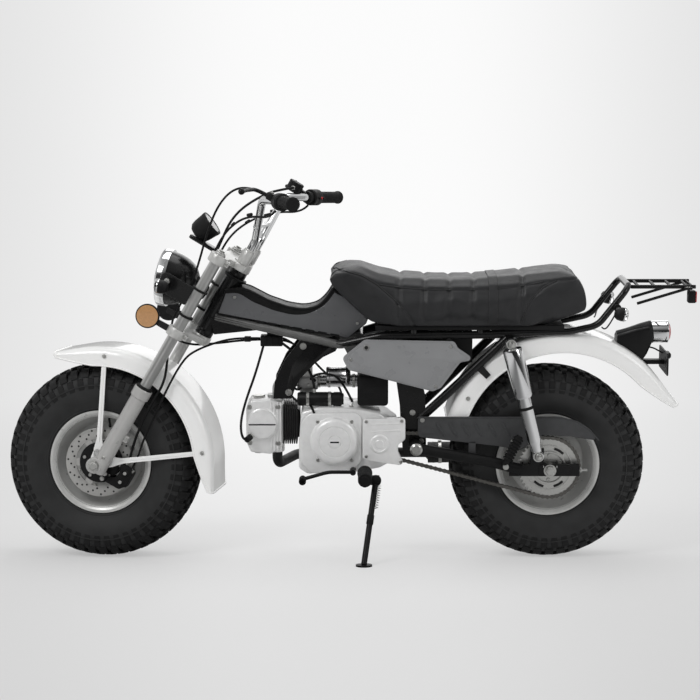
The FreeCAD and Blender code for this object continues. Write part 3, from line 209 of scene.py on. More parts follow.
def bolt(bm, point, direction, size, place, slot=0):
    # A hexagon head on its washer, size being the radius over its corners
    at = place @ facing(point, direction)
    turned(bm, [(0, 0), (0, size * 1.25), (size * 0.2, size * 1.25), (size * 0.2, 0)], at, 16, slot)
    turned(bm, [(0, 0), (0, size), (size * 0.65, size), (size * 0.8, size * 0.82), (size * 0.8, 0)], at, 6, slot)


def screw(bm, point, direction, size, place, slot=0):
    # A round head with a socket in it
    at = place @ facing(point, direction)
    turned(bm, [(0, 0), (0, size), (size * 0.5, size), (size * 0.75, size * 0.8), (size * 0.75, size * 0.45),
                (size * 0.3, size * 0.45), (size * 0.3, 0)], at, 12, slot)


def swept(bm, points, radius, place, smooth=True, steps=8, slot=0):
    # A round tube along a smooth line near its points, or straight between them where smooth is off
    data = bpy.data.curves.new("route", "CURVE")
    data.dimensions = "3D"
    data.bevel_depth = radius
    data.bevel_resolution = 4
    data.use_fill_caps = True
    line = data.splines.new("NURBS" if smooth else "POLY")
    line.points.add(len(points) - 1)
    for at, p in zip(line.points, points):
        at.co = (*p, 1)
    if smooth:
        line.order_u = 3
        line.use_endpoint_u = True
        line.resolution_u = steps
    holder = bpy.data.objects.new("route", data)
    bpy.context.scene.collection.objects.link(holder)
    bpy.context.view_layer.update()
    mesh = bpy.data.meshes.new_from_object(holder)
    shape = bmesh.new()
    shape.from_mesh(mesh)
    bmesh.ops.remove_doubles(shape, verts=shape.verts, dist=radius / 1000)
    bpy.data.objects.remove(holder)
    bpy.data.curves.remove(data)
    bpy.data.meshes.remove(mesh)
    return added(bm, shape, place, slot)


def piece(name, bm, body, materials, instead=(), sharp=32, weld=True):
    # Turns a bmesh into a named piece that rides on a body
    if weld:
        bmesh.ops.recalc_face_normals(bm, faces=bm.faces)
    mesh = bpy.data.meshes.new(name)
    bm.to_mesh(mesh)
    bm.free()
    mesh.shade_smooth()
    mesh.set_sharp_from_angle(angle=math.radians(sharp))
    made = bpy.data.objects.new(name, mesh)
    bpy.context.scene.collection.objects.link(made)
    for material in materials:
        mesh.materials.append(material)
    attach(made, body)
    if instead:
        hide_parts(*instead)
    return made


# Finishes
def setInputs(node, values):
    for key, value in values.items():
        node.inputs[key].default_value = value


def shaderOf(material):
    return next(n for n in material.node_tree.nodes if n.type == "BSDF_PRINCIPLED")


def finish(name, color, metallic=0.0, rough=0.4, roughSpread=0.08, tone=0.06, grain=60.0, bump=0.0,
           bumpGrain=600.0, coat=0.0, coatRough=0.1, level=0.5):
    # A finish whose colour and gloss vary softly over the surface, with a fine relief
    material = bpy.data.materials.new(name)
    material.use_nodes = True
    nodes, links = material.node_tree.nodes, material.node_tree.links
    shader = shaderOf(material)
    setInputs(shader, {"Metallic": metallic, "Coat Weight": coat, "Coat Roughness": coatRough,
                       "Specular IOR Level": level})
    where = nodes.new("ShaderNodeTexCoord")
    noise = nodes.new("ShaderNodeTexNoise")
    setInputs(noise, {"Scale": grain, "Detail": 4})
    links.new(where.outputs["Object"], noise.inputs["Vector"])
    tint = nodes.new("ShaderNodeValToRGB")
    for stop, position, change in zip(tint.color_ramp.elements, (0.3, 0.7), (-tone, tone)):
        stop.position = position
        stop.color = (*[min(1, c * (1 + change)) for c in color], 1)
    links.new(noise.outputs["Fac"], tint.inputs["Fac"])
    links.new(tint.outputs["Color"], shader.inputs["Base Color"])
    gloss = nodes.new("ShaderNodeMapRange")
    setInputs(gloss, {"From Min": 0.3, "From Max": 0.7, "To Min": max(0.02, rough - roughSpread),
                      "To Max": min(1, rough + roughSpread)})
    links.new(noise.outputs["Fac"], gloss.inputs["Value"])
    links.new(gloss.outputs["Result"], shader.inputs["Roughness"])
    if bump:
        fine = nodes.new("ShaderNodeTexNoise")
        setInputs(fine, {"Scale": bumpGrain, "Detail": 3})
        links.new(where.outputs["Object"], fine.inputs["Vector"])
        relief = nodes.new("ShaderNodeBump")
        setInputs(relief, {"Strength": bump, "Distance": 0.0004})
        links.new(fine.outputs["Fac"], relief.inputs["Height"])
        links.new(relief.outputs["Normal"], shader.inputs["Normal"])
    return material


chrome = finish("chrome", (0.8, 0.805, 0.81), 1.0, 0.08, 0.02, 0.02, 30)
polished = finish("polished aluminium", (0.72, 0.72, 0.73), 1.0, 0.2, 0.06, 0.04, 40, 0.05, 900)
satinSteel = finish("satin steel tube", (0.62, 0.62, 0.61), 0.85, 0.3, 0.02, 0.02, 40)
zinc = finish("zinc plated steel", (0.6, 0.6, 0.58), 1.0, 0.34, 0.1, 0.08, 120, 0.06, 1500)
castSilver = finish("silver painted casting", (0.88, 0.88, 0.875), 0.25, 0.34, 0.06, 0.03, 70, 0.14, 1400)
castPlain = finish("bare casting", (0.5, 0.5, 0.495), 0.8, 0.42, 0.1, 0.1, 60, 0.3, 900)
whitePaint = finish("white gloss paint", (0.95, 0.95, 0.94), 0.0, 0.22, 0.04, 0.015, 12, 0.02, 500, 0.5, 0.06)
blackGloss = finish("black gloss paint", (0.005, 0.005, 0.0052), 0.0, 0.26, 0.05, 0.15, 30, 0.03, 700, 0.25, 0.1,
                    level=0.3)
blackSatin = finish("black satin paint", (0.007, 0.007, 0.0072), 0.0, 0.44, 0.08, 0.2, 50, 0.12, 1300, level=0.25)
greyPanel = finish("grey gloss panel", (0.12, 0.122, 0.127), 0.1, 0.3, 0.05, 0.05, 20, 0.03, 900, 0.25, 0.12,
                   level=0.3)
coverGrey = finish("grey gloss side cover", (0.28, 0.283, 0.29), 0.1, 0.3, 0.05, 0.05, 20, 0.03, 900, 0.25, 0.12,
                   level=0.3)
guardPaint = finish("dark grey satin paint", (0.06, 0.061, 0.063), 0.1, 0.42, 0.08, 0.1, 60, 0.12, 1200, level=0.3)
blackPlastic = finish("black moulded plastic", (0.007, 0.007, 0.0073), 0.0, 0.5, 0.08, 0.15, 80, 0.25, 1800,
                      level=0.25)
softRubber = finish("black rubber", (0.007, 0.007, 0.0072), 0.0, 0.62, 0.08, 0.2, 90, 0.3, 1600, level=0.25)
tyreRubber = finish("tyre rubber", (0.011, 0.011, 0.0112), 0.0, 0.66, 0.1, 0.3, 25, 0.35, 1100, level=0.3)
wallRubber = finish("tyre wall rubber", (0.027, 0.0273, 0.0277), 0.0, 0.6, 0.06, 0.15, 25, 0.2, 900, level=0.3)
vinyl = finish("black vinyl", (0.026, 0.0263, 0.0275), 0.0, 0.44, 0.05, 0.1, 35, 0.35, 1700, level=0.3)
railPaint = finish("dark silver paint", (0.16, 0.16, 0.157), 0.5, 0.36, 0.06, 0.06, 50, 0.08, 1200)
seam = finish("seam thread", (0.02, 0.02, 0.021), 0.0, 0.6, 0.1, 0.2, 400, 0.5, 2500)
gunmetal = finish("dark engine paint", (0.02, 0.02, 0.02), 0.3, 0.45, 0.1, 0.2, 90, 0.3, 900)
silverPaint = finish("silver paint", (0.6, 0.6, 0.585), 0.3, 0.33, 0.06, 0.04, 60, 0.06, 1500, 0.2, 0.15)
discSteel = finish("ground disc steel", (0.5, 0.495, 0.48), 0.6, 0.34, 0.05, 0.06, 300)
chainSteel = finish("oiled chain steel", (0.16, 0.155, 0.145), 0.9, 0.4, 0.12, 0.25, 200, 0.1, 1500)
amber = finish("amber lens", (0.52, 0.28, 0.12), 0.0, 0.2, 0.05, 0.08, 200, 0.3, 700, 0.6, 0.05)
redLens = finish("red lens", (0.5, 0.01, 0.012), 0.0, 0.16, 0.05, 0.1, 200, 0.3, 700, 0.6, 0.05)
# Black of the dial face, also used as painted shade: dark discs and bars standing for holes, slots and bores
dialAndHoleShade = finish("dial face and hole shade", (0.01, 0.01, 0.01), 0.0, 0.5, 0.05, 0.1, 200)
dialWhite = finish("dial marks", (0.8, 0.8, 0.78), 0.0, 0.5, 0.05, 0.03, 200)
mirrorBowl = finish("lamp reflector", (0.9, 0.9, 0.9), 1.0, 0.12, 0.03, 0.02, 30)
exhaustBlack = finish("heatproof black", (0.01, 0.01, 0.01), 0.1, 0.55, 0.1, 0.25, 60, 0.3, 1200)


def clearGlass(name, color, rough):
    material = bpy.data.materials.new(name)
    material.use_nodes = True
    nodes, links = material.node_tree.nodes, material.node_tree.links
    shader = shaderOf(material)
    setInputs(shader, {"Base Color": (*color, 1), "Transmission Weight": 1, "IOR": 1.45})
    where = nodes.new("ShaderNodeTexCoord")
    ribs = nodes.new("ShaderNodeTexNoise")
    ribs.inputs["Scale"].default_value = 90
    smear = nodes.new("ShaderNodeMapRange")
    setInputs(smear, {"To Min": rough, "To Max": rough + 0.06})
    links.new(where.outputs["Object"], ribs.inputs["Vector"])
    links.new(ribs.outputs["Fac"], smear.inputs["Value"])
    links.new(smear.outputs["Result"], shader.inputs["Roughness"])
    return material


lensGlass = clearGlass("lens glass", (0.97, 0.98, 0.98), 0.01)
print("finishes made")

# Camera, floor, backdrop and light
cameraPlace = {"at": (18, -5376, 931), "target": (-1, 124, 570), "lens": 101.8}
lampPlace = {"key": ((-2.4, -3.2, 3.4), 1.8, 70), "fill": ((3.4, -2.6, 2.2), 1.6, 24),
             "top": ((0.2, 0.6, 4.2), 2.6, 43), "back": ((0.4, 3.6, 2.4), 2.8, 31)}  # place, width, watts
ambient = 0.43
vignetteRange = (0.03, 0.22), (0.97, 0.76)  # slope from the middle of the picture, then brightness


def ranged(nodes, links, value, low, high):
    # Maps a value from one range to another, softly at the ends
    made = nodes.new("ShaderNodeMapRange")
    made.interpolation_type = "SMOOTHSTEP"
    made.inputs["From Min"].default_value, made.inputs["From Max"].default_value = low
    made.inputs["To Min"].default_value, made.inputs["To Max"].default_value = high
    links.new(value, made.inputs["Value"])
    return made.outputs["Result"]


def worked(nodes, links, operation, *values):
    made = nodes.new("ShaderNodeMath")
    made.operation = operation
    for slot, value in zip(made.inputs, values):
        if isinstance(value, (int, float)):
            slot.default_value = value
        else:
            links.new(value, slot)
    return made.outputs["Value"]


def mixed(nodes, links, share, first, second):
    made = nodes.new("ShaderNodeMix")
    made.data_type = "FLOAT"
    links.new(share, made.inputs["Factor"])
    for key, value in (("A", first), ("B", second)):
        if isinstance(value, (int, float)):
            made.inputs[key].default_value = value
        else:
            links.new(value, made.inputs[key])
    return made.outputs["Result"]


def setStage():
    scene = bpy.context.scene
    scene.view_settings.view_transform = "Standard"
    data = bpy.data.cameras.new("camera")
    data.lens = cameraPlace["lens"]
    data.sensor_width = 36
    data.clip_end = 60
    camera = bpy.data.objects.new("camera", data)
    camera.location = [c / 1000 for c in cameraPlace["at"]]
    target = Vector([c / 1000 for c in cameraPlace["target"]])
    camera.rotation_euler = (target - camera.location).to_track_quat("-Z", "Y").to_euler()
    scene.collection.objects.link(camera)
    scene.camera = camera

    world = bpy.data.worlds.new("studio")
    scene.world = world
    world.use_nodes = True
    nodes, links = world.node_tree.nodes, world.node_tree.links
    back = nodes["Background"]
    where = nodes.new("ShaderNodeTexCoord")
    split = nodes.new("ShaderNodeSeparateXYZ")
    links.new(where.outputs["Generated"], split.inputs["Vector"])
    # In reflections it is bright behind the machine and overhead, and dark towards the viewer
    shade = ranged(nodes, links, split.outputs["Y"], (-0.7, 0.5), (0.04, 0.62))
    top = ranged(nodes, links, split.outputs["Z"], (0.1, 0.8), (0.0, 0.7))
    strips = ranged(nodes, links, worked(nodes, links, "ABSOLUTE", split.outputs["X"]), (0.05, 0.75), (0.4, 1.15))
    most = worked(nodes, links, "MULTIPLY", worked(nodes, links, "MAXIMUM", shade, top), strips)
    path = nodes.new("ShaderNodeLightPath")
    seen = worked(nodes, links, "MAXIMUM", path.outputs["Is Camera Ray"], path.outputs["Is Transmission Ray"])
    glossy = mixed(nodes, links, path.outputs["Is Glossy Ray"], ambient, most)
    # The backdrop is white in the middle and greyer to the sides
    slope = worked(nodes, links, "ABSOLUTE", worked(nodes, links, "DIVIDE", split.outputs["X"], split.outputs["Y"]))
    vignette = ranged(nodes, links, slope, *vignetteRange)
    level = mixed(nodes, links, seen, glossy, vignette)
    links.new(level, back.inputs["Strength"])
    back.inputs["Color"].default_value = (1, 1, 1, 1)

    bm = bmesh.new()
    bmesh.ops.create_grid(bm, x_segments=1, y_segments=1, size=14)
    mesh = bpy.data.meshes.new("floor")
    bm.to_mesh(mesh)
    bm.free()
    floor = bpy.data.objects.new("floor", mesh)
    scene.collection.objects.link(floor)
    paint = bpy.data.materials.new("floor paint")
    paint.use_nodes = True
    nodes, links = paint.node_tree.nodes, paint.node_tree.links
    shader = shaderOf(paint)
    setInputs(shader, {"Base Color": (0.8, 0.8, 0.8, 1), "Roughness": 0.7, "Specular IOR Level": 0.2})
    glow = nodes.new("ShaderNodeEmission")
    path = nodes.new("ShaderNodeLightPath")
    seen = worked(nodes, links, "MAXIMUM", path.outputs["Is Camera Ray"], path.outputs["Is Transmission Ray"])
    # The floor fades into the backdrop behind the machine, and darkens towards the viewer
    where = nodes.new("ShaderNodeTexCoord")
    split = nodes.new("ShaderNodeSeparateXYZ")
    links.new(where.outputs["Object"], split.inputs["Vector"])
    away = worked(nodes, links, "ADD", split.outputs["Y"], -cameraPlace["at"][1] / 1000)
    slope = worked(nodes, links, "ABSOLUTE", worked(nodes, links, "DIVIDE", split.outputs["X"], away))
    vignette = ranged(nodes, links, slope, *vignetteRange)
    nearer = ranged(nodes, links, split.outputs["Y"], (-2.2, 1.0), (0.74, 1.0))
    links.new(worked(nodes, links, "MULTIPLY", vignette, nearer), glow.inputs["Strength"])
    fade = ranged(nodes, links, split.outputs["Y"], (0.3, 5.0), (0.5, 1.0))
    blend = nodes.new("ShaderNodeMixShader")
    links.new(worked(nodes, links, "MULTIPLY", seen, fade), blend.inputs["Fac"])
    links.new(shader.outputs["BSDF"], blend.inputs[1])
    links.new(glow.outputs["Emission"], blend.inputs[2])
    # Bright metal reflects a floor that is dark in the middle and bright to the sides
    mirrored = nodes.new("ShaderNodeEmission")
    aside = worked(nodes, links, "ABSOLUTE", worked(nodes, links, "ADD", split.outputs["X"], 0.25))
    links.new(ranged(nodes, links, aside, (0.15, 1.3), (0.06, 0.62)), mirrored.inputs["Strength"])
    whole = nodes.new("ShaderNodeMixShader")
    links.new(worked(nodes, links, "MULTIPLY", path.outputs["Is Glossy Ray"], 0.8), whole.inputs["Fac"])
    links.new(blend.outputs["Shader"], whole.inputs[1])
    links.new(mirrored.outputs["Emission"], whole.inputs[2])
    links.new(whole.outputs["Shader"], nodes["Material Output"].inputs["Surface"])
    floor.data.materials.append(paint)

    for name, (at, width, power) in lampPlace.items():
        data = bpy.data.lights.new(name, "AREA")
        data.size = width
        data.energy = power
        lamp = bpy.data.objects.new(name, data)
        lamp.location = at
        lamp.rotation_euler = (Vector((0, 0, 0.4)) - lamp.location).to_track_quat("-Z", "Y").to_euler()
        scene.collection.objects.link(lamp)


setStage()
print("stage set")

# Finishes of the construction's own nodes
nodeFinish = {
    "frame": blackGloss, "spine": greyPanel, "frame_cables": softRubber, "brake_hose": softRubber,
    "fork_cables": softRubber, "swingarm": blackSatin, "rear_axle": zinc, "shock_absorbers": chrome,
    "fuel_tank": blackSatin, "side_covers": greyPanel, "rear_fender": whitePaint, "grab_loop": blackGloss,
    "rear_rack": blackSatin, "tail_lamp": blackPlastic, "rear_indicators": blackPlastic,
    "crankcase": castSilver, "cylinder": gunmetal, "cylinder_head": castSilver, "sprocket_cover": castSilver,
    "starter_motor": blackSatin, "carburettor": castPlain, "air_box": blackPlastic, "exhaust": exhaustBlack,
    "footrests": blackSatin, "passenger_pegs": softRubber, "gear_pedal": blackSatin, "brake_pedal": zinc,
    "chain": chainSteel, "chain_guard": guardPaint, "electrics_box": blackPlastic, "fork_legs": satinSteel,
    "top_bridge": castSilver, "lower_bridge": castSilver, "fork_reflectors": amber, "front_axle": zinc,
    "brake_caliper": blackSatin, "front_fender": whitePaint, "handlebar": chrome, "grips": softRubber,
    "left_controls": blackPlastic, "right_controls": blackPlastic, "headlamp": blackGloss,
    "lamp_ears": blackGloss, "front_indicators": blackPlastic, "speedometer": blackPlastic,
    "front_tyre": tyreRubber, "rear_tyre": tyreRubber, "front_rim": silverPaint, "rear_rim": silverPaint,
    "brake_disc": discSteel, "rear_sprocket": zinc, "seat": vinyl, "side_stand": blackSatin,
}
for nodeName, nodeObject in frame["nodes"].items():
    nodeObject.data.materials.clear()
    nodeObject.data.materials.append(nodeFinish[nodeName])

# Tyres: a smooth carcass, rows of tread blocks and ribs on the walls
tyreSize = {"crown": 150, "top": 269.2, "depth": 9.5, "pitches": 48, "taper": 0.88,
            "wall": [(60.7, 127.5), (60.7, 141), (63.5, 146), (66.5, 150), (68.3, 152), (69, 155), (71.5, 160),
                     (78.5, 174), (83, 190), (84, 203), (82.6, 214), (79.5, 226), (75, 237)]}
across = Matrix.Rotation(-math.pi / 2, 4, "X")  # stands a turned form's axis along Y


def crownAt(y):
    return tyreSize["top"] - tyreSize["crown"] + math.sqrt(tyreSize["crown"] ** 2 - y ** 2)


def copies(bm, shape, places):
    # The same small form again at each of many places
    base = bpy.data.meshes.new("copy")
    shape.to_mesh(base)
    for at in places:
        again = base.copy()
        again.transform(at)
        bm.from_mesh(again)
        bpy.data.meshes.remove(again)
    bpy.data.meshes.remove(base)


def treadBlock(outline, middle):
    # One block of the tread, drawn flat as (across, along the road) and stood on the crown
    size = tyreSize
    shape = bmesh.new()
    foot = size["depth"] + 2
    face = shape.faces.new([shape.verts.new((y - middle, s, -foot)) for y, s in outline])
    made = bmesh.ops.extrude_face_region(shape, geom=[face])
    top = [v for v in made["geom"] if isinstance(v, bmesh.types.BMVert)]
    bmesh.ops.translate(shape, verts=top, vec=(0, 0, foot))
    bmesh.ops.scale(shape, verts=top, vec=(size["taper"], size["taper"], 1))
    rims = [e for e in shape.edges if all(v in top for v in e.verts)]
    bmesh.ops.bevel(shape, geom=rims, offset=1.1, segments=1, profile=0.5, affect="EDGES", material=-1)
    bmesh.ops.recalc_face_normals(shape, faces=shape.faces)
    tilt = math.asin(middle / size["crown"])
    place = (Matrix.Translation((0, middle, crownAt(middle))) @ Matrix.Rotation(-tilt, 4, "X")
             @ Matrix.Rotation(math.pi / 2, 4, "Z"))
    bmesh.ops.transform(shape, matrix=place, verts=shape.verts)
    for f in shape.faces:
        f.material_index = 1
    return shape


def makeTyre(name, hub, body):
    size = tyreSize
    bm = bmesh.new()
    flat = [(y, crownAt(y) - size["depth"]) for y in (70, 60, 48, 36, 24, 12, 0)]
    half = size["wall"] + flat
    profile = [(-y, r) for y, r in half] + half[-2::-1]
    turned(bm, profile + profile[:1], hub @ across, 160)
    for y, r, out in ((83.3, 214.5, 0.9), (66, 149, 1.2)):
        for s in sides:
            ring = [(y * s - 2, r - 1.6), (y * s - 2, r + 1.6), ((y + out) * s, r + 0.8), ((y + out) * s, r - 0.8)]
            turned(bm, ring + ring[:1], hub @ across, 160)
    step = math.tau / size["pitches"]

    def around(shape, offset):
        copies(bm, shape, [hub @ Matrix.Rotation(step * (k + offset), 4, "Y") for k in range(size["pitches"])])
        shape.free()

    for s in sides:
        rows = [([(3, -10), (12, -13), (23, -7), (23, 11), (13, 7), (3, 10)], 13, 0.0),
                ([(26, -11), (37, -7), (46.5, -11), (46.5, 9), (37, 13), (26, 8)], 36, 0.5)]
        for outline, middle, offset in rows:
            shape = treadBlock([(y * s, along) for y, along in outline], middle * s)
            around(shape, offset + 0.25 * s)
        # Shoulder blocks, and a second row low on the wall between them
        upper = [(49.5, crownAt(49.5) - 12), (50, crownAt(50)), (61, crownAt(61)), (70.5, crownAt(70.5)),
                 (75.5, 245), (78, 238), (70, 236)]
        lower = [(74, 236), (79.5, 233), (83, 221), (84.2, 210), (84.2, 204), (80, 200), (76, 226)]
        for side, wide, offset in ((upper, 11, 0.0), (lower, 8.5, 0.5)):
            shape = bmesh.new()
            prism(shape, [(y * s, r) for y, r in side], -wide, wide, Matrix.Rotation(math.pi / 2, 4, "Z"), 1.2, 1,
                  1)
            bmesh.ops.recalc_face_normals(shape, faces=shape.faces)
            around(shape, offset + 0.25 * s)
    piece(name + "_treaded", bm, body, [wallRubber, tyreRubber], instead=[name], sharp=40)


# Rims: a dished steel rim, its hub, bolts and valve
rimSize = {"boltCircle": 40, "bolts": 5, "dish": [(66, 142), (66, 137), (64.5, 133), (58, 125), (44, 122),
                                                  (38, 117),
                                                 (16, 108), (9, 103), (7.5, 98)]}


def makeRim(name, hub, body, leftFace):
    size = rimSize
    bm = bmesh.new()
    outside = [(61.5, 142), (61.3, 130), (60.3, 126.7)]
    dish = size["dish"]
    hubSide = [(7.5, 52), (11, 48.5), (50, 48.5), (51, 52), (56, 52), (58, 50), (58, 30), (57, 20), (57, 8)]
    leftSide = [(7.5, 52), (11, 48.5), (50, 48.5), (51, 52), (56, 52), (58, 50), (58, 41),
                (leftFace - 1, 40), (leftFace, 39), (leftFace, 8)]
    profile = ([(-y, r) for y, r in outside[::-1]] + [(-y, r) for y, r in dish] + [(-y, r) for y, r in leftSide]
               + hubSide[::-1] + dish[::-1] + outside)
    fresh = turned(bm, profile + profile[:1], hub @ across, 120)
    # The hub is painted apart from the rim
    back = hub.inverted()
    for f in fresh:
        at = back @ f.calc_center_median()
        if math.hypot(at.x, at.z) < 62:
            f.material_index = 1
    for k in range(size["bolts"]):
        a = math.tau * k / size["bolts"]
        at = Vector((size["boltCircle"] * math.cos(a), 58, size["boltCircle"] * math.sin(a)))
        bolt(bm, at, acrossY, 5.5, hub, 2)
    for k in range(8):
        a = math.tau * (k + 0.5) / 8
        for s in sides:
            bolt(bm, (82 * math.cos(a), 7.5 * s, 82 * math.sin(a)), acrossY * s, 5, hub, 2)
    rod(bm, (20, -45, 118), (26, -60, 104), 3.2, hub, 12, 0.5, 3)
    rod(bm, (26, -60, 104), (28.5, -66, 98), 4, hub, 12, 0.8, 3)
    piece(name + "_dished", bm, body, [silverPaint, blackSatin, zinc, softRubber], instead=[name])


discSize = {"outer": 95, "inner": 66, "middle": -72, "half": 1.9, "holes": 30, "carrier": 56}


def makeDisc():
    size = discSize
    bm = bmesh.new()
    low, high = size["middle"] - size["half"], size["middle"] + size["half"]
    turned(bm, ringProfile(size["inner"], size["outer"], low, high, 0.4), frontHub @ across, 96)
    for k in range(6):
        a = math.tau * k / 6
        arm = Matrix.Rotation(a, 4, "Y")
        prism(bm, rounded([(46, -12), (74, -9), (76, 0), (74, 9), (46, 12)], 4), low + 0.2, high - 0.2,
              frontHub @ arm, 0.4, 1)
    turned(bm, ringProfile(14, size["carrier"], -75.2, -70.3, 1), frontHub @ across, 64, 1)
    for k in range(5):
        a = math.tau * k / 5 + 0.3
        screw(bm, (44 * math.cos(a), -75.2, 44 * math.sin(a)), -acrossY, 5, frontHub, 2)
    # The drilled holes are not cut: each shows as a dark spot with a bright rim, the dark being painted shade
    # standing for the bore
    hole = bmesh.new()
    turned(hole, [(0.02, 0), (0.02, 2.1), (0.12, 2.5), (0.0, 2.9)], here, 10, 3)
    places = []
    for row, radius in enumerate((73, 81, 89)):
        for k in range(row % 2, size["holes"], 2):
            a = math.tau * (k + row * 0.33) / size["holes"]
            for s, y in ((left, low), (right, high)):
                places.append(frontHub @ facing((radius * math.cos(a), y, radius * math.sin(a)), acrossY * s))
    copies(bm, hole, places)
    hole.free()
    piece("brake_disc_drilled", bm, "front_wheel", [discSteel, blackSatin, zinc, dialAndHoleShade], instead=["brake_disc"])


makeTyre("front_tyre", frontHub, "front_wheel")
makeTyre("rear_tyre", rearHub, "rear_wheel")
makeRim("front_rim", frontHub, "front_wheel", 70)
makeRim("rear_rim", rearHub, "rear_wheel", 94)
makeDisc()
print("wheels made")

# Chain and sprocket: the rollers sit on the same pitch line as the construction's chain
chainSize = {"pitch": 12.7, "rearTeeth": 41, "frontTeeth": 15, "shaft": (150, 338), "line": -97, "roller": 3.9,
             "plate": 4.9, "waist": 3.4, "pin": 2.1}


def chainPath():
    size = chainSize
    frontR, rearR = (size["pitch"] / 2 / math.sin(math.pi / size[k]) for k in ("frontTeeth", "rearTeeth"))
    a = Vector((size["shaft"][0], size["line"], size["shaft"][1]))
    b = Vector((machineSize["rearAxle"][0], size["line"], machineSize["rearAxle"][2]))
    between = b - a
    heading = math.atan2(between.z, between.x)
    spread = math.acos((frontR - rearR) / between.length)
    run = between.length * math.sin(spread)
    lengths = [run, rearR * 2 * spread, run, frontR * 2 * (math.pi - spread)]
    count = 2 * round(sum(lengths) / size["pitch"] / 2)

    def out(angle):
        return Vector((math.cos(angle), 0, math.sin(angle)))

    points = []
    upper, lower = out(heading + spread), out(heading - spread)
    for i in range(count):
        s = i * sum(lengths) / count
        if s <= lengths[0]:
            points.append(a + upper * frontR + (b + upper * rearR - a - upper * frontR) * (s / run))
        elif s <= sum(lengths[:2]):
            points.append(b + out(heading + spread - (s - lengths[0]) / rearR) * rearR)
        elif s <= sum(lengths[:3]):
            done = (s - sum(lengths[:2])) / run
            points.append(b + lower * rearR + (a + lower * frontR - b - lower * rearR) * done)
        else:
            points.append(a + out(heading - spread - (s - sum(lengths[:3])) / frontR) * frontR)
    onRear = [i for i in range(count) if abs(i * sum(lengths) / count - lengths[0] - lengths[1] / 2) < 8]
    return points, rearR, points[onRear[0]] - b


def toothed(teeth, pitchRadius, phase):
    # Outline of a sprocket with its gaps at the rollers, the first at an angle
    outline = []
    for k in range(teeth):
        a = phase + math.tau * k / teeth
        for share, reach in ((-0.2, -3.2), (-0.1, -3.9), (0.1, -3.9), (0.2, -3.2), (0.38, 2.2), (0.46, 3.4),
                             (0.54, 3.4), (0.62, 2.2)):
            b = a + math.tau * share / teeth
            outline.append(((pitchRadius + reach) * math.cos(b), (pitchRadius + reach) * math.sin(b)))
    return outline


def makeChain():
    size = chainSize
    points, rearR, rearGap = chainPath()
    bm = bmesh.new()
    links = []
    for kind, inside in ((0, 3.3), (1, 4.75)):
        shape = bmesh.new()
        span = (points[1] - points[0]).length
        turns = [math.pi / 2 + k * math.pi / 8 for k in range(9)]
        plate = [(size["plate"] * math.cos(a), size["plate"] * math.sin(a)) for a in turns]
        plate.append((span / 2, -size["waist"]))
        plate += [(span - x, -z) for x, z in plate[:9]]
        plate.append((span / 2, size["waist"]))
        for s in sides:
            low, high = sorted((inside * s, (inside + 1.4) * s))
            prism(shape, plate, low, high, here, 0.25, 1)
        # Pins through the outer links, rollers in the inner ones
        half, radius, steps, edge = (6.8, size["pin"], 10, 0.3) if kind else (3.3, size["roller"], 14, 0.2)
        for x in (0, span):
            rod(shape, (x, -half, 0), (x, half, 0), radius, here, steps, edge)
        bmesh.ops.recalc_face_normals(shape, faces=shape.faces)
        links.append(shape)
    for kind, shape in enumerate(links):
        places = []
        for i in range(kind, len(points), 2):
            step = points[(i + 1) % len(points)] - points[i]
            turn = Matrix.Rotation(-math.atan2(step.z, step.x), 4, "Y")
            places.append(machine @ Matrix.Translation(points[i]) @ turn)
        copies(bm, shape, places)
        shape.free()
    piece("drive_chain", bm, "chassis", [chainSteel], instead=["chain"])

    bm = bmesh.new()
    phase = math.atan2(rearGap.z, rearGap.x)
    prism(bm, toothed(size["rearTeeth"], rearR, phase), -99.6, -94.3, rearHub, 0.5, 1)
    # Curved slots, drawn as dark bars of painted shade, a raised ring and the bolts of the carrier
    turned(bm, ringProfile(40, 47, -102.4, -99, 0.8), rearHub @ across, 64)
    turned(bm, ringProfile(60, 64, -100.6, -99, 0.5), rearHub @ across, 64)
    for k in range(6):
        a = math.tau * k / 6
        arc = [(54.5 * math.cos(a + t), 54.5 * math.sin(a + t)) for t in (-0.26, -0.13, 0, 0.13, 0.26)]
        swept(bm, [(x, -99.5, z) for x, z in arc], 3.6, rearHub, True, 4, 1)
        screw(bm, (34 * math.cos(a + 0.5), -99.6, 34 * math.sin(a + 0.5)), -acrossY, 5.2, rearHub, 0)
    piece("sprocket_toothed", bm, "rear_wheel", [zinc, dialAndHoleShade], instead=["rear_sprocket"])


makeChain()
print("chain made")

# Fenders: a rounded channel with rolled rims, flared at both ends
fenderSize = {"half": 96, "skirt": 52, "wall": 3, "corner": 39, "flareReach": 13, "taperReach": 20}


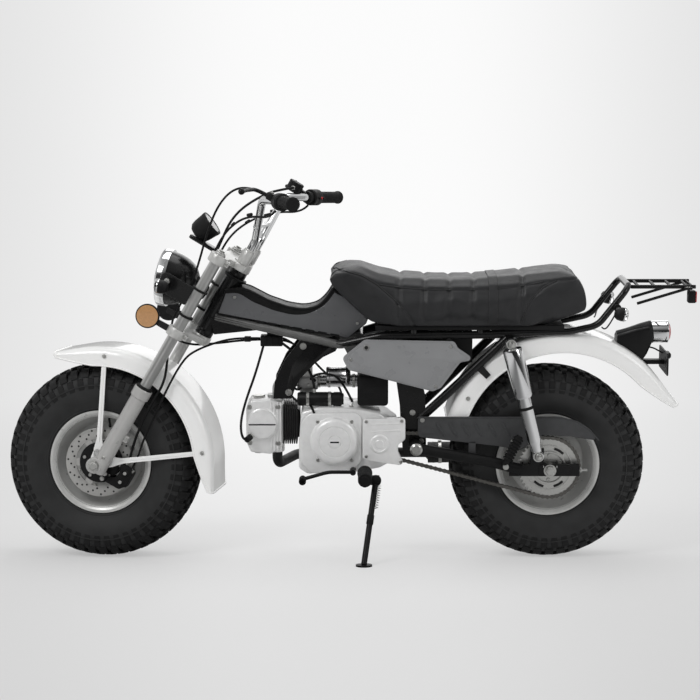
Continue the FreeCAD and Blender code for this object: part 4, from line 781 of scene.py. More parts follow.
def makeFender(name, middle, radius, first, last, body, flares, mats, extra=None):
    # Turned about Y from one angle to another, in degrees up from the rear
    size = fenderSize
    bm = bmesh.new()
    half, skirt = size["half"] - 1.5, size["skirt"]
    top = radius - 1.5
    section = rounded([(-half, top - skirt + 1.5, 0), (-half, top, 0), (half, top, 0),
                       (half, top - skirt + 1.5, 0)],
                      size["corner"], 8, closed=False)
    verts = [bm.verts.new((r * math.cos(math.radians(first)), y, r * math.sin(math.radians(first))))
             for y, r, _ in section]
    edges = [bm.edges.new(pair) for pair in zip(verts, verts[1:])]
    bmesh.ops.spin(bm, geom=verts + edges, cent=(0, 0, 0), axis=(0, 1, 0),
                   angle=-math.radians(last - first), steps=64, use_merge=False, use_duplicate=False)
    bmesh.ops.remove_doubles(bm, verts=bm.verts, dist=0.01)
    for v in bm.verts:
        angle = math.degrees(math.atan2(v.co.z, v.co.x))
        for end, amount in zip((first, last), flares):
            near = max(0, 1 - abs(angle - end) / size["flareReach"])
            r = math.hypot(v.co.x, v.co.z)
            taper = max(0, 1 - abs(angle - end) / size["taperReach"]) ** 1.4 * (0.7 if amount else 0)
            grow = 1 + (amount * near ** 2.2 + (top - r) * taper) / r
            v.co.x *= grow
            v.co.z *= grow
    bmesh.ops.recalc_face_normals(bm, faces=bm.faces)
    outer = bm.faces[:]
    probe = max(outer, key=lambda f: f.calc_center_median().length)
    if probe.normal.dot(probe.calc_center_median()) < 0:
        bmesh.ops.reverse_faces(bm, faces=outer)
    rims = [e for e in bm.edges if e.is_boundary]
    loop = set(v for e in rims for v in e.verts)
    bmesh.ops.solidify(bm, geom=outer, thickness=size["wall"])
    # A rolled bead all round the edge
    start = min(loop, key=lambda v: (v.co.y, v.co.x))
    placed = [start.co.copy()]
    loopEdges = {e for e in rims if e.is_valid}
    at, came = start, None
    while True:
        ahead = [e for e in at.link_edges if e in loopEdges and e is not came]
        if not ahead:
            break
        came = ahead[0]
        at = came.other_vert(at)
        if at is start:
            break
        placed.append(at.co.copy())
    if len(placed) > 20:
        swept(bm, placed + placed[:1], 2.6, here, False)
    if extra:
        extra(bm)
    bmesh.ops.transform(bm, matrix=middle, verts=bm.verts)
    piece(name + "_shell", bm, body, mats, instead=[name], sharp=40)


def polar(angle, radius, y=0):
    return Vector((radius * math.cos(math.radians(angle)), y, radius * math.sin(math.radians(angle))))


def frontStays(bm):
    # Flat stays from the axle to the fender, joined in a rounded plate at the axle
    for s in sides:
        low, high = sorted((90.2 * s, 93.2 * s))
        for angle, reach in ((86, 290), (7, 288)):
            turn = Matrix.Rotation(-math.radians(angle), 4, "Y")
            bar = [(0, -15), (40, -14), (70, -7.5), (reach, -6.5), (reach, 6.5), (70, 7.5), (40, 14), (0, 15)]
            prism(bm, rounded(bar, 6), low, high, turn, 0.8, 1)
            prism(bm, [(60, -1.5), (reach - 12, -1.5), (reach - 12, 1.5), (60, 1.5)],
                  *sorted((93 * s, 94.8 * s)), turn, 0.7, 1)
            bolt(bm, polar(angle, reach + 6, 95.6 * s), acrossY * s, 4.6, here, 1)
            prism(bm, rounded([(reach - 14, -11), (reach + 16, -11), (reach + 16, 11), (reach - 14, 11)], 5),
                  low, high, turn, 0.8, 1)
        # The plate between the two stays and the fork
        plate = [(-16, -16), (20, -14), (40, -4), (44, 16), (14, 38), (-10, 40), (-20, 16)]
        prism(bm, rounded(plate, 9), low, high, here, 0.8, 1)


makeFender("front_fender", frontHub, 322, -13, 112, "fork", (9, 7), [whitePaint, zinc], frontStays)
rearFenderMiddle = machine @ Matrix.Translation((648, 0, 311))


def rearFenderBolts(bm):
    for angle in (150, 118):
        for s in sides:
            bolt(bm, polar(angle, 300, 95.8 * s), acrossY * s, 4.6, here, 1)


makeFender("rear_fender", rearFenderMiddle, 330, 23, 164, "chassis", (10, 0), [whitePaint, zinc], rearFenderBolts)
print("fenders made")

# Spine and side covers
spineSize = {"half": 42, "edge": 5, "upper": [(-272, 751), (-221, 759), (-155, 724), (-104, 706), (-57, 698),
                                              (-18, 708), (6, 731), (22, 757)],
             "rest": [(54, 731), (96, 692), (117, 671), (112, 658), (62, 616), (-295, 684.5)],
             "panel": [(-270, 741), (-236, 744), (-196, 718), (-140, 695), (-88, 682), (-42, 685), (2, 711),
                       (26, 744)],
             "panelRest": [(55, 729), (95, 692), (115, 671), (110, 659), (62, 619), (-290, 688)]}


def makeSpine():
    size = spineSize
    bm = bmesh.new()
    upper = rounded(size["upper"], 120, 6, False)
    prism(bm, upper + size["rest"], -size["half"], size["half"], machine, size["edge"], 4, 1)
    panel = rounded(size["panel"], 120, 6, False) + size["panelRest"]
    for s in sides:
        prism(bm, panel, *sorted((39 * s, 43.6 * s)), machine, 1.6, 3, 0)
        # Slots through the pressed wall, low on the panel, drawn as black bars of painted shade
        for k in range(7):
            x0, z0 = -190 + k * 34, 669 - k * 6.1
            bar = [(x0, z0), (x0 + 25, z0 - 4.5), (x0 + 25, z0 - 10.5), (x0, z0 - 6)]
            prism(bm, rounded(bar, 2.5), *sorted((43.2 * s, 43.9 * s)), machine, 0.2, 1, 1)
        # The moulded rim along the upper edge
        swept(bm, [(x, 40 * s, z - 2) for x, z in upper], 4, machine, False, 8, 1)
        screw(bm, (-246, 43.4 * s, 731), acrossY * s, 4.5, machine, 2)
        screw(bm, (88, 43.4 * s, 660), acrossY * s, 4.5, machine, 2)
    # The collar where the steering head comes through
    turned(bm, ringProfile(27.5, 33, -8, -1.2, 1.5), fork, 40, 1)
    piece("spine_panel", bm, "chassis", [greyPanel, blackSatin, zinc], instead=["spine"])


coverSize = {"y": 101.8, "outline": [(46, 575), (108, 625), (350, 620), (359, 602), (406, 570), (366, 562),
                                     (314, 492), (292, 482), (64, 541)]}


def makeSideCovers():
    size = coverSize
    bm = bmesh.new()
    outline = rounded(size["outline"], 13, 4)
    for s in sides:
        low, high = sorted(((size["y"] - 2.4) * s, (size["y"] + 1.2) * s))
        prism(bm, outline, low, high, machine, 0.9, 1, 0)
        # A raised field with a soft edge, and its screws
        middle = Vector((212, 558))
        inner = rounded([tuple(middle + (Vector(p) - middle) * 0.93) for p in size["outline"]], 12, 4)
        low, high = sorted(((size["y"] + 1.0) * s, (size["y"] + 2.5) * s))
        prism(bm, inner, low, high, machine, 1.2, 3, 0)
        for x, z in ((70, 570), (340, 606), (300, 496)):
            screw(bm, (x, (size["y"] + 1.6) * s, z), acrossY * s, 4.2, machine, 1)
    # The lock of the left cover
    rod(bm, (112, -104.1, 603), (112, -106.2, 603), 8, machine, 24, 0.6, 1)
    rod(bm, (112, -106.2, 603), (112, -106.5, 603), 5.2, machine, 20, 0.1, 2)
    piece("cover_panels", bm, "chassis", [coverGrey, zinc, dialAndHoleShade], instead=["side_covers"])


makeSpine()
makeSideCovers()
print("panels made")

# Seat: a padded cover swollen by cloth, with sewn channels across it, a strap and side seams
seatSize = {
    "half": 121, "swell": 9, "voxel": 6, "limits": (5, 711.5, 123.5), "base": (120, 668),
    "channelHalf": 12, "channelDepth": 5.5, "seamHalf": 7, "seamDepth": 3, "puff": 1, "pressure": 3,
    "stiffness": 40, "bend": 8,
    "outline": [(8, 794), (22, 810), (55, 819), (84, 815), (144, 793), (204, 781), (303, 775), (377, 775),
                (452, 780), (551, 790), (650, 802), (678, 804), (700, 760), (708, 719), (705, 708), (650, 688),
                (551, 661), (200, 661), (154, 671), (121, 677), (101, 696), (58, 735), (24, 771)],
    "channels": [197, 264, 331, 395, 526],
    "frontSeam": [(14, 796), (30, 812), (60, 811), (101, 799), (140, 776), (173, 748), (206, 718), (228, 690),
                  (245, 656)],
    "rearSeam": [(620, 786), (586, 770), (556, 740), (538, 705), (527, 673)],
    "topSeam": [(150, 775), (206, 766), (289, 761), (395, 760), (470, 764), (528, 771), (586, 783), (690, 794)],
    "strap": (452, 22),
}


def makeSeat():
    size = seatSize
    bm = bmesh.new()
    prism(bm, rounded(size["outline"], 24, 4), -size["half"] + 5, size["half"] - 5, here, 16, 5)
    bmesh.ops.recalc_face_normals(bm, faces=bm.faces)
    bmesh.ops.transform(bm, matrix=toMetres, verts=bm.verts)
    mesh = bpy.data.meshes.new("seat_cover")
    bm.to_mesh(mesh)
    bm.free()
    pad = bpy.data.objects.new("seat_cover", mesh)
    bpy.context.scene.collection.objects.link(pad)
    remesh = pad.modifiers.new("remesh", "REMESH")
    remesh.mode = "VOXEL"
    remesh.voxel_size = size["voxel"] / 1000
    applyAll(pad)
    start = [v.co.copy() for v in pad.data.vertices]
    cloth = pad.modifiers.new("cloth", "CLOTH")
    cloth.settings.use_pressure = True
    cloth.settings.uniform_pressure_force = size["pressure"]
    cloth.settings.tension_stiffness = size["stiffness"]
    cloth.settings.compression_stiffness = size["stiffness"]
    cloth.settings.bending_stiffness = size["bend"]
    cloth.settings.effector_weights.gravity = 0
    cloth.settings.quality = 5
    cloth.point_cache.frame_start = 1
    cloth.point_cache.frame_end = 20
    for k in range(1, 21):
        bpy.context.scene.frame_set(k)
    applyAll(pad)
    bpy.context.scene.frame_set(1)
    limit = size["swell"] / 1000
    for v, was in zip(pad.data.vertices, start):
        moved = v.co - was
        if moved.length > limit:
            v.co = was + moved.normalized() * limit
        # The base stays flat where it lies on the rails
        if was.z < size["base"][1] / 1000 and was.x > size["base"][0] / 1000:
            v.co = was
    shapeSeat(pad)
    calm = pad.modifiers.new("calm", "SMOOTH")
    calm.factor, calm.iterations = 0.5, 10
    pad.modifiers.new("fine", "SUBSURF").levels = 1
    pad.modifiers["fine"].render_levels = 1
    applyAll(pad)
    sewSeat(pad)
    pad.data.transform(machine @ toMetres.inverted())
    pad.data.materials.append(vinyl)
    pad.data.shade_smooth()
    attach(pad, "seat_lid")
    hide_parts("seat")
    return pad


def applyAll(made):
    graph = bpy.context.evaluated_depsgraph_get()
    mesh = bpy.data.meshes.new_from_object(made.evaluated_get(graph))
    made.modifiers.clear()
    made.data = mesh


def distanceTo(line, x, z):
    best = 1e9
    for (x0, z0), (x1, z1) in zip(line, line[1:]):
        length = (x1 - x0) ** 2 + (z1 - z0) ** 2
        t = max(0, min(1, ((x - x0) * (x1 - x0) + (z - z0) * (z1 - z0)) / length))
        best = min(best, math.hypot(x - x0 - t * (x1 - x0), z - z0 - t * (z1 - z0)))
    return best


def shapeSeat(pad):
    # Keeps the swollen cover inside the cushion's own length and width, in metres
    front, rear, side = [reach / 1000 for reach in seatSize["limits"]]
    for v in pad.data.vertices:
        v.co.y = max(-side, min(side, v.co.y))
        v.co.x = max(front, min(rear, v.co.x))


def sewSeat(pad):
    # Channels across the top, and seams down the sides, pressed into the cover
    size = seatSize
    normals = [v.vector.copy() for v in pad.data.vertex_normals]
    for v, normal in zip(pad.data.vertices, normals):
        x, y, z = v.co * 1000
        onTop = max(0, min(1, (z - 672) / 14))
        press = 0
        for channel in size["channels"]:
            near = abs(x - channel - 10 * (1 - (y / 124) ** 2))
            if near < size["channelHalf"]:
                press += size["channelDepth"] / 1000 * onTop * (1 - near / size["channelHalf"]) ** 1.5
        if abs(y) > 70:
            for line in (size["frontSeam"], size["rearSeam"], size["topSeam"]):
                near = distanceTo(line, x, z)
                if near < size["seamHalf"]:
                    press += size["seamDepth"] / 1000 * (1 - near / size["seamHalf"]) ** 1.5
        # A gentle puff between the channels
        if size["channels"][0] < x < size["channels"][-1]:
            press -= size["puff"] / 1000 * onTop
        if press:
            v.co -= normal * press


def traced(surface, points, direction, lift):
    # Points laid on a surface along a direction, in machine millimetres
    laid = []
    back = machine.inverted()
    aim = (machine.to_3x3() @ Vector(direction)).normalized()
    for p in points:
        start = machine @ Vector(p)
        hit, normal = surface.ray_cast(start - aim * 0.2, aim)[:2]
        if hit:
            laid.append(tuple(back @ (hit + normal * lift / 1000)))
    return laid


def strapLine(surface, x, share, lift, drops):
    # A line over the seat and down both its sides, at each drop below the edge of the top
    over = [(x, -124 * math.cos(math.pi * k / 32) * share, 900) for k in range(33)]
    laid = traced(surface, over, (0, 0, -1), lift)
    down = []
    for s, edge in ((left, laid[0][2]), (right, laid[-1][2])):
        heights = [edge - drop for drop in drops if edge - drop > seatSize["base"][1]]
        down.append(traced(surface, [(x, 150 * s, z) for z in heights], (0, -s, 0), lift))
    return down[0][::-1] + laid + down[1]


def makeSeatTrim(pad):
    size = seatSize
    graph = bpy.context.evaluated_depsgraph_get()
    surface = BVHTree.FromObject(pad, graph)
    bm = bmesh.new()
    # Piping along both sides over the channels' ends, and down the front and rear
    for s in sides:
        for line in (size["frontSeam"], size["rearSeam"], size["topSeam"]):
            route = rounded([(x, 0, z) for x, z in line], 30, 6, False)
            laid = traced(surface, [(x, 140 * s, z) for x, y, z in route], (0, -s, 0), 0.4)
            if len(laid) > 2:
                swept(bm, laid, 1.7, machine, True, 4, 0)
    # The strap over the middle, and its edges
    middle, half = size["strap"]
    for offset in (-half / 2, half / 2):
        line = strapLine(surface, middle + offset, 0.9, 0.8, [15 + k * 9 for k in range(11)])
        swept(bm, line, 1.5, machine, True, 4)
    piece("seat_piping", bm, "seat_lid", [seam])
    # The strap's web itself
    bm = bmesh.new()
    rows = []
    for offset in (-half / 2, 0, half / 2):
        rows.append(strapLine(surface, middle + offset, 0.93, 2.2, [8 + k * 10 for k in range(10)]))
    count = min(len(row) for row in rows)
    grid = [[bm.verts.new(machine @ Vector(p)) for p in row[:count]] for row in rows]
    for first, second in zip(grid, grid[1:]):
        for k in range(count - 1):
            bm.faces.new([first[k], first[k + 1], second[k + 1], second[k]])
    bmesh.ops.recalc_face_normals(bm, faces=bm.faces)
    probe = max(bm.faces, key=lambda f: f.calc_center_median().z)
    if probe.normal.z < 0:
        bmesh.ops.reverse_faces(bm, faces=bm.faces)
    bmesh.ops.solidify(bm, geom=bm.faces[:], thickness=0.0022)
    piece("seat_strap", bm, "seat_lid", [vinyl])
    # Hinge knuckles stay metal, under the right side
    bm = bmesh.new()
    for x in (264, 444):
        rod(bm, (x, 112, 649), (x + 16, 112, 649), 9, machine, 24, 1, 0)
        boxed(bm, (x, 100, 652), (x + 16, 112, 662), machine, 1, 1, 0)
    boxed(bm, (136, -100, 649.5), (646, 100, 663), machine, 3, 2, 1)
    piece("seat_base", bm, "seat_lid", [zinc, blackPlastic])


seatPad = makeSeat()
makeSeatTrim(seatPad)
print("seat made")

# Steering: legs, bridges, reflectors, lamp, indicators and speedometer, in the fork's own frame
forkSize = {"lead": -50, "gap": 116, "axle": (-62, -628.6), "slider": 249, "top": 31, "low": -199}
sliderPaint = finish("silver fork paint", (0.48, 0.476, 0.466), 0.15, 0.32, 0.05, 0.03, 40, 0.04, 900, 0.3, 0.1)


def makeForkLegs():
    size = forkSize
    bm = bmesh.new()
    lead, axleX, axleZ = size["lead"], *size["axle"]
    topOf = axleZ + size["slider"]
    for s in sides:
        y = size["gap"] * s
        leg = fork @ Matrix.Translation((lead, y, 0))
        turned(bm, [(topOf - 8, 0), (topOf - 8, 15.5), (48, 15.5), (49, 14.5), (49, 0)], leg, 40, 0)
        turned(bm, [(axleZ - 16, 0), (axleZ - 16, 19), (axleZ - 13, 22), (topOf - 27, 22), (topOf - 24, 26),
                    (topOf + 1, 26), (topOf + 3, 24.6), (topOf + 3, 18), (topOf + 7, 17.4), (topOf + 7, 14)],
               leg, 48, 1)
        turned(bm, [(topOf + 3, 15), (topOf + 3, 23.4), (topOf + 8, 22.6), (topOf + 10, 20), (topOf + 10, 15.6)],
               leg, 48, 2)
        rod(bm, (axleX, y - 22, axleZ), (axleX, y + 22, axleZ), 22, fork, 40, 2, 1)
        # Cap nut on the top of each tube
        turned(bm, [(49, 0), (49, 13), (52, 13), (53, 12), (53, 0)], leg, 32, 3)
        turned(bm, [(53, 0), (53, 8), (57, 8), (57.5, 7), (57.5, 0)], leg, 6, 3)
        screw(bm, (lead, (size["gap"] + 21.5) * s, axleZ + 34), acrossY * s, 5, fork, 3)
        # A cast lug behind the slider for the hose or the caliper
        boxed(bm, (lead + 16, y - 6, axleZ + 96), (lead + 33, y + 6, axleZ + 116), fork, 2, 2, 1)
        bolt(bm, (lead + 27, y + 6 * s, axleZ + 106), acrossY * s, 4.4, fork, 3)
    piece("fork_tubes", bm, "fork", [satinSteel, sliderPaint, softRubber, zinc], instead=["fork_legs"])


def makeBridges():
    size = forkSize
    lead, gap = size["lead"], size["gap"]
    half = 13
    for name, level, node in (("upper_bridge", size["top"], "top_bridge"),
                              ("under_bridge", size["low"], "lower_bridge")):
        bm = bmesh.new()
        flat = fork @ Matrix.Translation((0, 0, level)) @ Matrix.Rotation(math.pi / 2, 4, "X")
        # Outline seen from above, as (along, across)
        web = [(lead - 14, -gap), (lead - 14, gap), (lead + 20, gap), (lead + 24, 62), (14, 30), (26, 0),
               (14, -30), (lead + 24, -62), (lead + 20, -gap)]
        prism(bm, rounded([(x, -y) for x, y in web], 12), -half + 4, half - 4, flat, 2.5, 3, 0)
        for s in sides:
            at = fork @ Matrix.Translation((lead, gap * s, level))
            turned(bm, ringProfile(15.7, 25, -half, half, 2.5), at, 48, 0)
            # Clamp ears with a bolt behind each tube
            boxed(bm, (lead + 20, gap * s - 7, level - 8), (lead + 35, gap * s + 7, level + 8), fork, 2, 2, 0)
            screw(bm, (lead + 28, (gap + 7) * s, level), acrossY * s, 4.4, fork, 1)
        at = fork @ Matrix.Translation((0, 0, level))
        turned(bm, ringProfile(14.2, 27, -half, half, 2.5), at, 48, 0)
        if level > 0:
            turned(bm, ringProfile(14.3, 24.5, -level + 0.6, -half, 1), at, 40, 2)
            shelf = [(-165, 14), (-158, 22), (lead, 22), (lead, -22), (-158, -22), (-165, -14)]
            prism(bm, rounded([(x, -y) for x, y in shelf], 8), -5, 5, flat, 1.5, 2, 2)
            for s in sides:
                boxed(bm, (-10, 45 * s - 17, level - 7), (18, 45 * s + 17, level + half), fork, 3, 2, 0)
                rod(bm, (4, 45 * s, level + half), (4, 45 * s, level + half + 40), 17, fork, 36, 2.5, 0, 11.05)
                rod(bm, (4, 45 * s, level + half + 39.6), (4, 45 * s, level + half + 44), 15, fork, 36, 1.4, 0,
                    11.05)
                screw(bm, (-10.4, 45 * s, level + half + 12), -backX, 4.6, fork, 1)
                screw(bm, (-11.4, 45 * s, level + half + 30), -backX, 4.6, fork, 1)
        else:
            turned(bm, ringProfile(14.3, 24.5, 13, 30.6, 1), at, 40, 2)
            turned(bm, [(-level + 44, 0), (-level + 44, 15), (-level + 46, 16), (-level + 56, 16),
                        (-level + 60, 12), (-level + 60, 0)], at, 40, 2)
            turned(bm, [(0, 0), (0, 14), (-level + 44, 14), (-level + 44, 0)], at, 32, 2)
            for s in sides:
                arm = [(lead - 90, -10), (lead - 40, -10), (lead - 14, -9), (lead, -9), (lead, 9),
                       (lead - 14, 9), (lead - 90, 5)]
                prism(bm, rounded([(x, z + level) for x, z in arm], 4), gap * s - 3, gap * s + 3, fork, 0.8, 1, 2)
        piece(name, bm, "fork", [silverPaint, zinc, blackGloss], instead=[node])


def makeReflectors():
    size = forkSize
    bm = bmesh.new()
    for s in sides:
        near = (size["gap"] + 3) * s
        at = fork @ facing((size["lead"] - 88, near, size["low"]), acrossY * s)
        turned(bm, [(0, 0), (0, 32), (2, 33), (6.5, 33), (8.2, 31.5), (8.2, 29.6)], at, 64, 1)
        turned(bm, [(6.6, 30.6), (8.6, 29.4), (9, 27), (9, 0)], at, 64, 0)
        for k in range(-5, 6):
            reach = math.sqrt(27 ** 2 - (k * 4.8) ** 2)
            rod(bm, (k * 4.8, -reach, 8.7), (k * 4.8, reach, 8.7), 0.75, at, 6, 0, 0)
    piece("side_reflectors", bm, "fork", [amber, blackPlastic], instead=["fork_reflectors"])


headlampSize = {"radius": 77, "angle": 21, "place": (-185, 0, -111)}
lampTilt = math.radians(headlampSize["angle"])
look = Vector((-math.cos(lampTilt), 0, -math.sin(lampTilt)))


def makeHeadlamp():
    size = headlampSize
    at = fork @ facing(Vector(size["place"]) - look * 10, look)
    r = size["radius"]
    bm = bmesh.new()
    bowl = [(-100, 0), (-100, 18), (-98, 26), (-92, 38), (-82, 50), (-66, 61), (-48, 68.5), (-30, 73), (-21, 74.5),
            (-17, 75)]
    turned(bm, bowl, at, 96, 0)
    # Chrome rim with a beaded edge
    turned(bm,
           [(-22, 74), (-22, 78.4), (-19, 79), (-2, 79), (2, 77.8), (4.6, 74), (5.2, 70.2), (4, 68.4), (2, 68.2)],
           at, 96, 1)
    turned(bm, [(-14, 78.6), (-13, 79.4), (-12, 79.4), (-11, 78.6)], at, 96, 1)
    # Reflector bowl and bulb
    turned(bm, [(-58, 0), (-58, 12), (-54, 24), (-44, 40), (-30, 53), (-12, 63), (2, 68.6)], at, 96, 2)
    turned(bm, [(-57, 0), (-57, 7), (-40, 7), (-36, 4), (-35, 0)], at, 24, 1)
    # The lens, domed and ribbed
    lens = [(3.4, 68.4), (6, 66), (11, 52), (15, 36), (17.6, 18), (18.6, 0)]
    turned(bm, lens, at, 96, 3)
    turned(bm, [(z - 2.4, max(0, r0 - 0.4)) for z, r0 in lens], at, 96, 3)
    for k in range(-6, 7):
        x = k * 9.0
        reach = math.sqrt(max(0, 60 ** 2 - x * x))
        z0 = 13.2 - 10 * (abs(x) / 66) ** 2
        swept(bm,
              [(x, -reach, z0 - 6.2), (x, -reach / 2, z0 - 0.4), (x, reach / 2, z0 - 0.4), (x, reach, z0 - 6.2)],
              0.9, at, True, 6, 3)
    for s in sides:
        rod(bm, (-143, (r - 14) * s, -95), (-143, 93 * s, -95), 9, fork, 32, 1, 0)
        bolt(bm, (-143, 97.4 * s, -95), acrossY * s, 7, fork, 4)
    # Cable entry at the back
    turned(bm, [(-99, 20), (-101.5, 19), (-101.5, 12), (-99.5, 0)], at, 32, 5)
    piece("head_lamp", bm, "fork", [blackGloss, chrome, mirrorBowl, lensGlass, zinc, softRubber],
          instead=["headlamp"])


def makeEars():
    bm = bmesh.new()
    lead, gap = forkSize["lead"], forkSize["gap"]
    for s in sides:
        at = fork @ Matrix.Translation((lead, gap * s, 0))
        for z in (-146, -66):
            turned(bm, ringProfile(15.8, 22.4, z - 3, z + 3, 1), at, 40, 1)
        low, high = sorted((93 * s, 97 * s))
        ear = [(-163, -121), (-163, -79), (-150, -73), (lead - 12, -73), (lead - 12, -127), (-150, -127)]
        prism(bm, rounded(ear, 14, 5), low, high, fork, 0.9, 1, 0)
    piece("lamp_brackets", bm, "fork", [blackGloss, softRubber], instead=["lamp_ears"])


def makeIndicators():
    lamp = [(0, 0), (0, 8), (3, 13), (9, 17), (18, 18.5), (27, 18.5), (28, 17.6)]
    lens = [(28, 17.6), (32, 16.4), (35.5, 11), (37, 5), (37.4, 0)]
    bowl = [(27, 17), (20, 12), (16, 0)]
    rear = Vector((0.98, 0, -0.17)).normalized()
    for name, body, node, place, middle, way, stalk in (
            ("front_blinkers", "fork", "front_indicators", fork, (-141, 151, -107), look, (-141, 97, -107)),
            ("rear_blinkers", "chassis", "rear_indicators", machine, (792, 151, 702), rear, (786, 101.6, 712))):
        bm = bmesh.new()
        for s in sides:
            rod(bm, mirrorY(stalk, s), mirrorY(middle, s) - way * 2, 6.5, place, 24, 1, 0)
            rod(bm, mirrorY(stalk, s), mirrorY(stalk, s) + acrossY * s * 9, 10.5, place, 24, 1.5, 0)
            at = place @ facing(mirrorY(middle, s) - way * 19, way)
            turned(bm, lamp, at, 48, 0)
            turned(bm, bowl, at, 48, 2)
            turned(bm, lens, at, 48, 1)
            turned(bm, ringProfile(17.4, 19, 24, 28.4, 0.7), at, 48, 3)
        if body == "chassis":
            for s in sides:
                swept(bm, [(774, 150 * s, 700), (762, 138 * s, 672), (752, 110 * s, 652), (748, 88 * s, 656)], 2,
                      machine, True, 8, 0)
        piece(name, bm, body, [blackPlastic, lensGlass, mirrorBowl, chrome], instead=[node])


dialSize = {"place": (-129, 0, 92), "up": (0.42, 0, 0.907), "depth": 56, "top": 140, "step": 20}


def makeDial():
    size = dialSize
    up = Vector(size["up"]).normalized()
    # X to the right as the rider reads it, Y away from the rider, Z out of the glass
    turn = Matrix((acrossY, up.cross(acrossY), up)).transposed().to_4x4()
    at = fork @ Matrix.Translation(size["place"]) @ turn
    bm = bmesh.new()
    turned(bm, [(-size["depth"], 0), (-size["depth"], 22), (-48, 30), (-36, 33), (-12, 35), (-8, 36), (-1, 36),
                (0, 35), (0, 31.5), (-4, 31), (-4, 0)], at, 64, 0)
    turned(bm, ringProfile(31.2, 35.4, -3, -0.4, 1), at, 64, 1)
    turned(bm, [(-3.2, 0), (-3.2, 31.2), (-3.6, 31.2)], at, 64, 2)
    turned(bm, [(-1.2, 31.4), (-0.9, 20), (-0.7, 0)], at, 64, 4)
    sweep = math.radians(250)
    count = size["top"] // size["step"]
    for k in range(count * 2 + 1):
        a = math.radians(90) + sweep / 2 - sweep * k / (count * 2)
        inner = 25.5 if k % 2 == 0 else 27.5
        width = 0.55 if k % 2 == 0 else 0.35
        line = Matrix.Rotation(a, 4, "Z")
        boxed(bm, (inner, -width, -3.2), (29.5, width, -2.9), at @ line, 0, 1, 3)
    needle = Matrix.Rotation(math.radians(90) + sweep / 2, 4, "Z")
    boxed(bm, (-5, -0.7, -2.7), (24, 0.7, -2.2), at @ needle, 0, 1, 5)
    turned(bm, [(-3.2, 0), (-3.2, 3.6), (-2, 3.2), (-2, 0)], at, 24, 0)
    piece("speed_dial", bm, "fork", [blackPlastic, chrome, dialAndHoleShade, dialWhite, lensGlass, redLens],
          instead=["speedometer"])
    # Plain numbers round the scale
    bm = bmesh.new()
    for k in range(0, count + 1):
        a = math.radians(90) + sweep / 2 - sweep * k / count
        data = bpy.data.curves.new("number", "FONT")
        data.body = str(k * size["step"])
        data.size = 6.2
        data.align_x, data.align_y = "CENTER", "CENTER"
        data.extrude = 0.12
        holder = bpy.data.objects.new("number", data)
        bpy.context.scene.collection.objects.link(holder)
        bpy.context.view_layer.update()
        mesh = bpy.data.meshes.new_from_object(holder)
        mesh.transform(at @ Matrix.Translation((20.5 * math.cos(a), 20.5 * math.sin(a), -2.95)))
        bm.from_mesh(mesh)
        bpy.data.objects.remove(holder)
        bpy.data.curves.remove(data)
        bpy.data.meshes.remove(mesh)
    piece("speed_numbers", bm, "fork", [dialWhite], weld=False)


makeForkLegs()
makeBridges()
makeReflectors()
makeHeadlamp()
makeEars()
makeIndicators()
makeDial()
print("fork made")

# Handlebar, grips and controls
barSize = {"radius": 11, "route": [(4, 45, 50), (4, 45, 116), (-17, 168, 236), (26, 222, 258), (88, 388, 290)],
           "start": (32.6, 239.6, 261.4)}


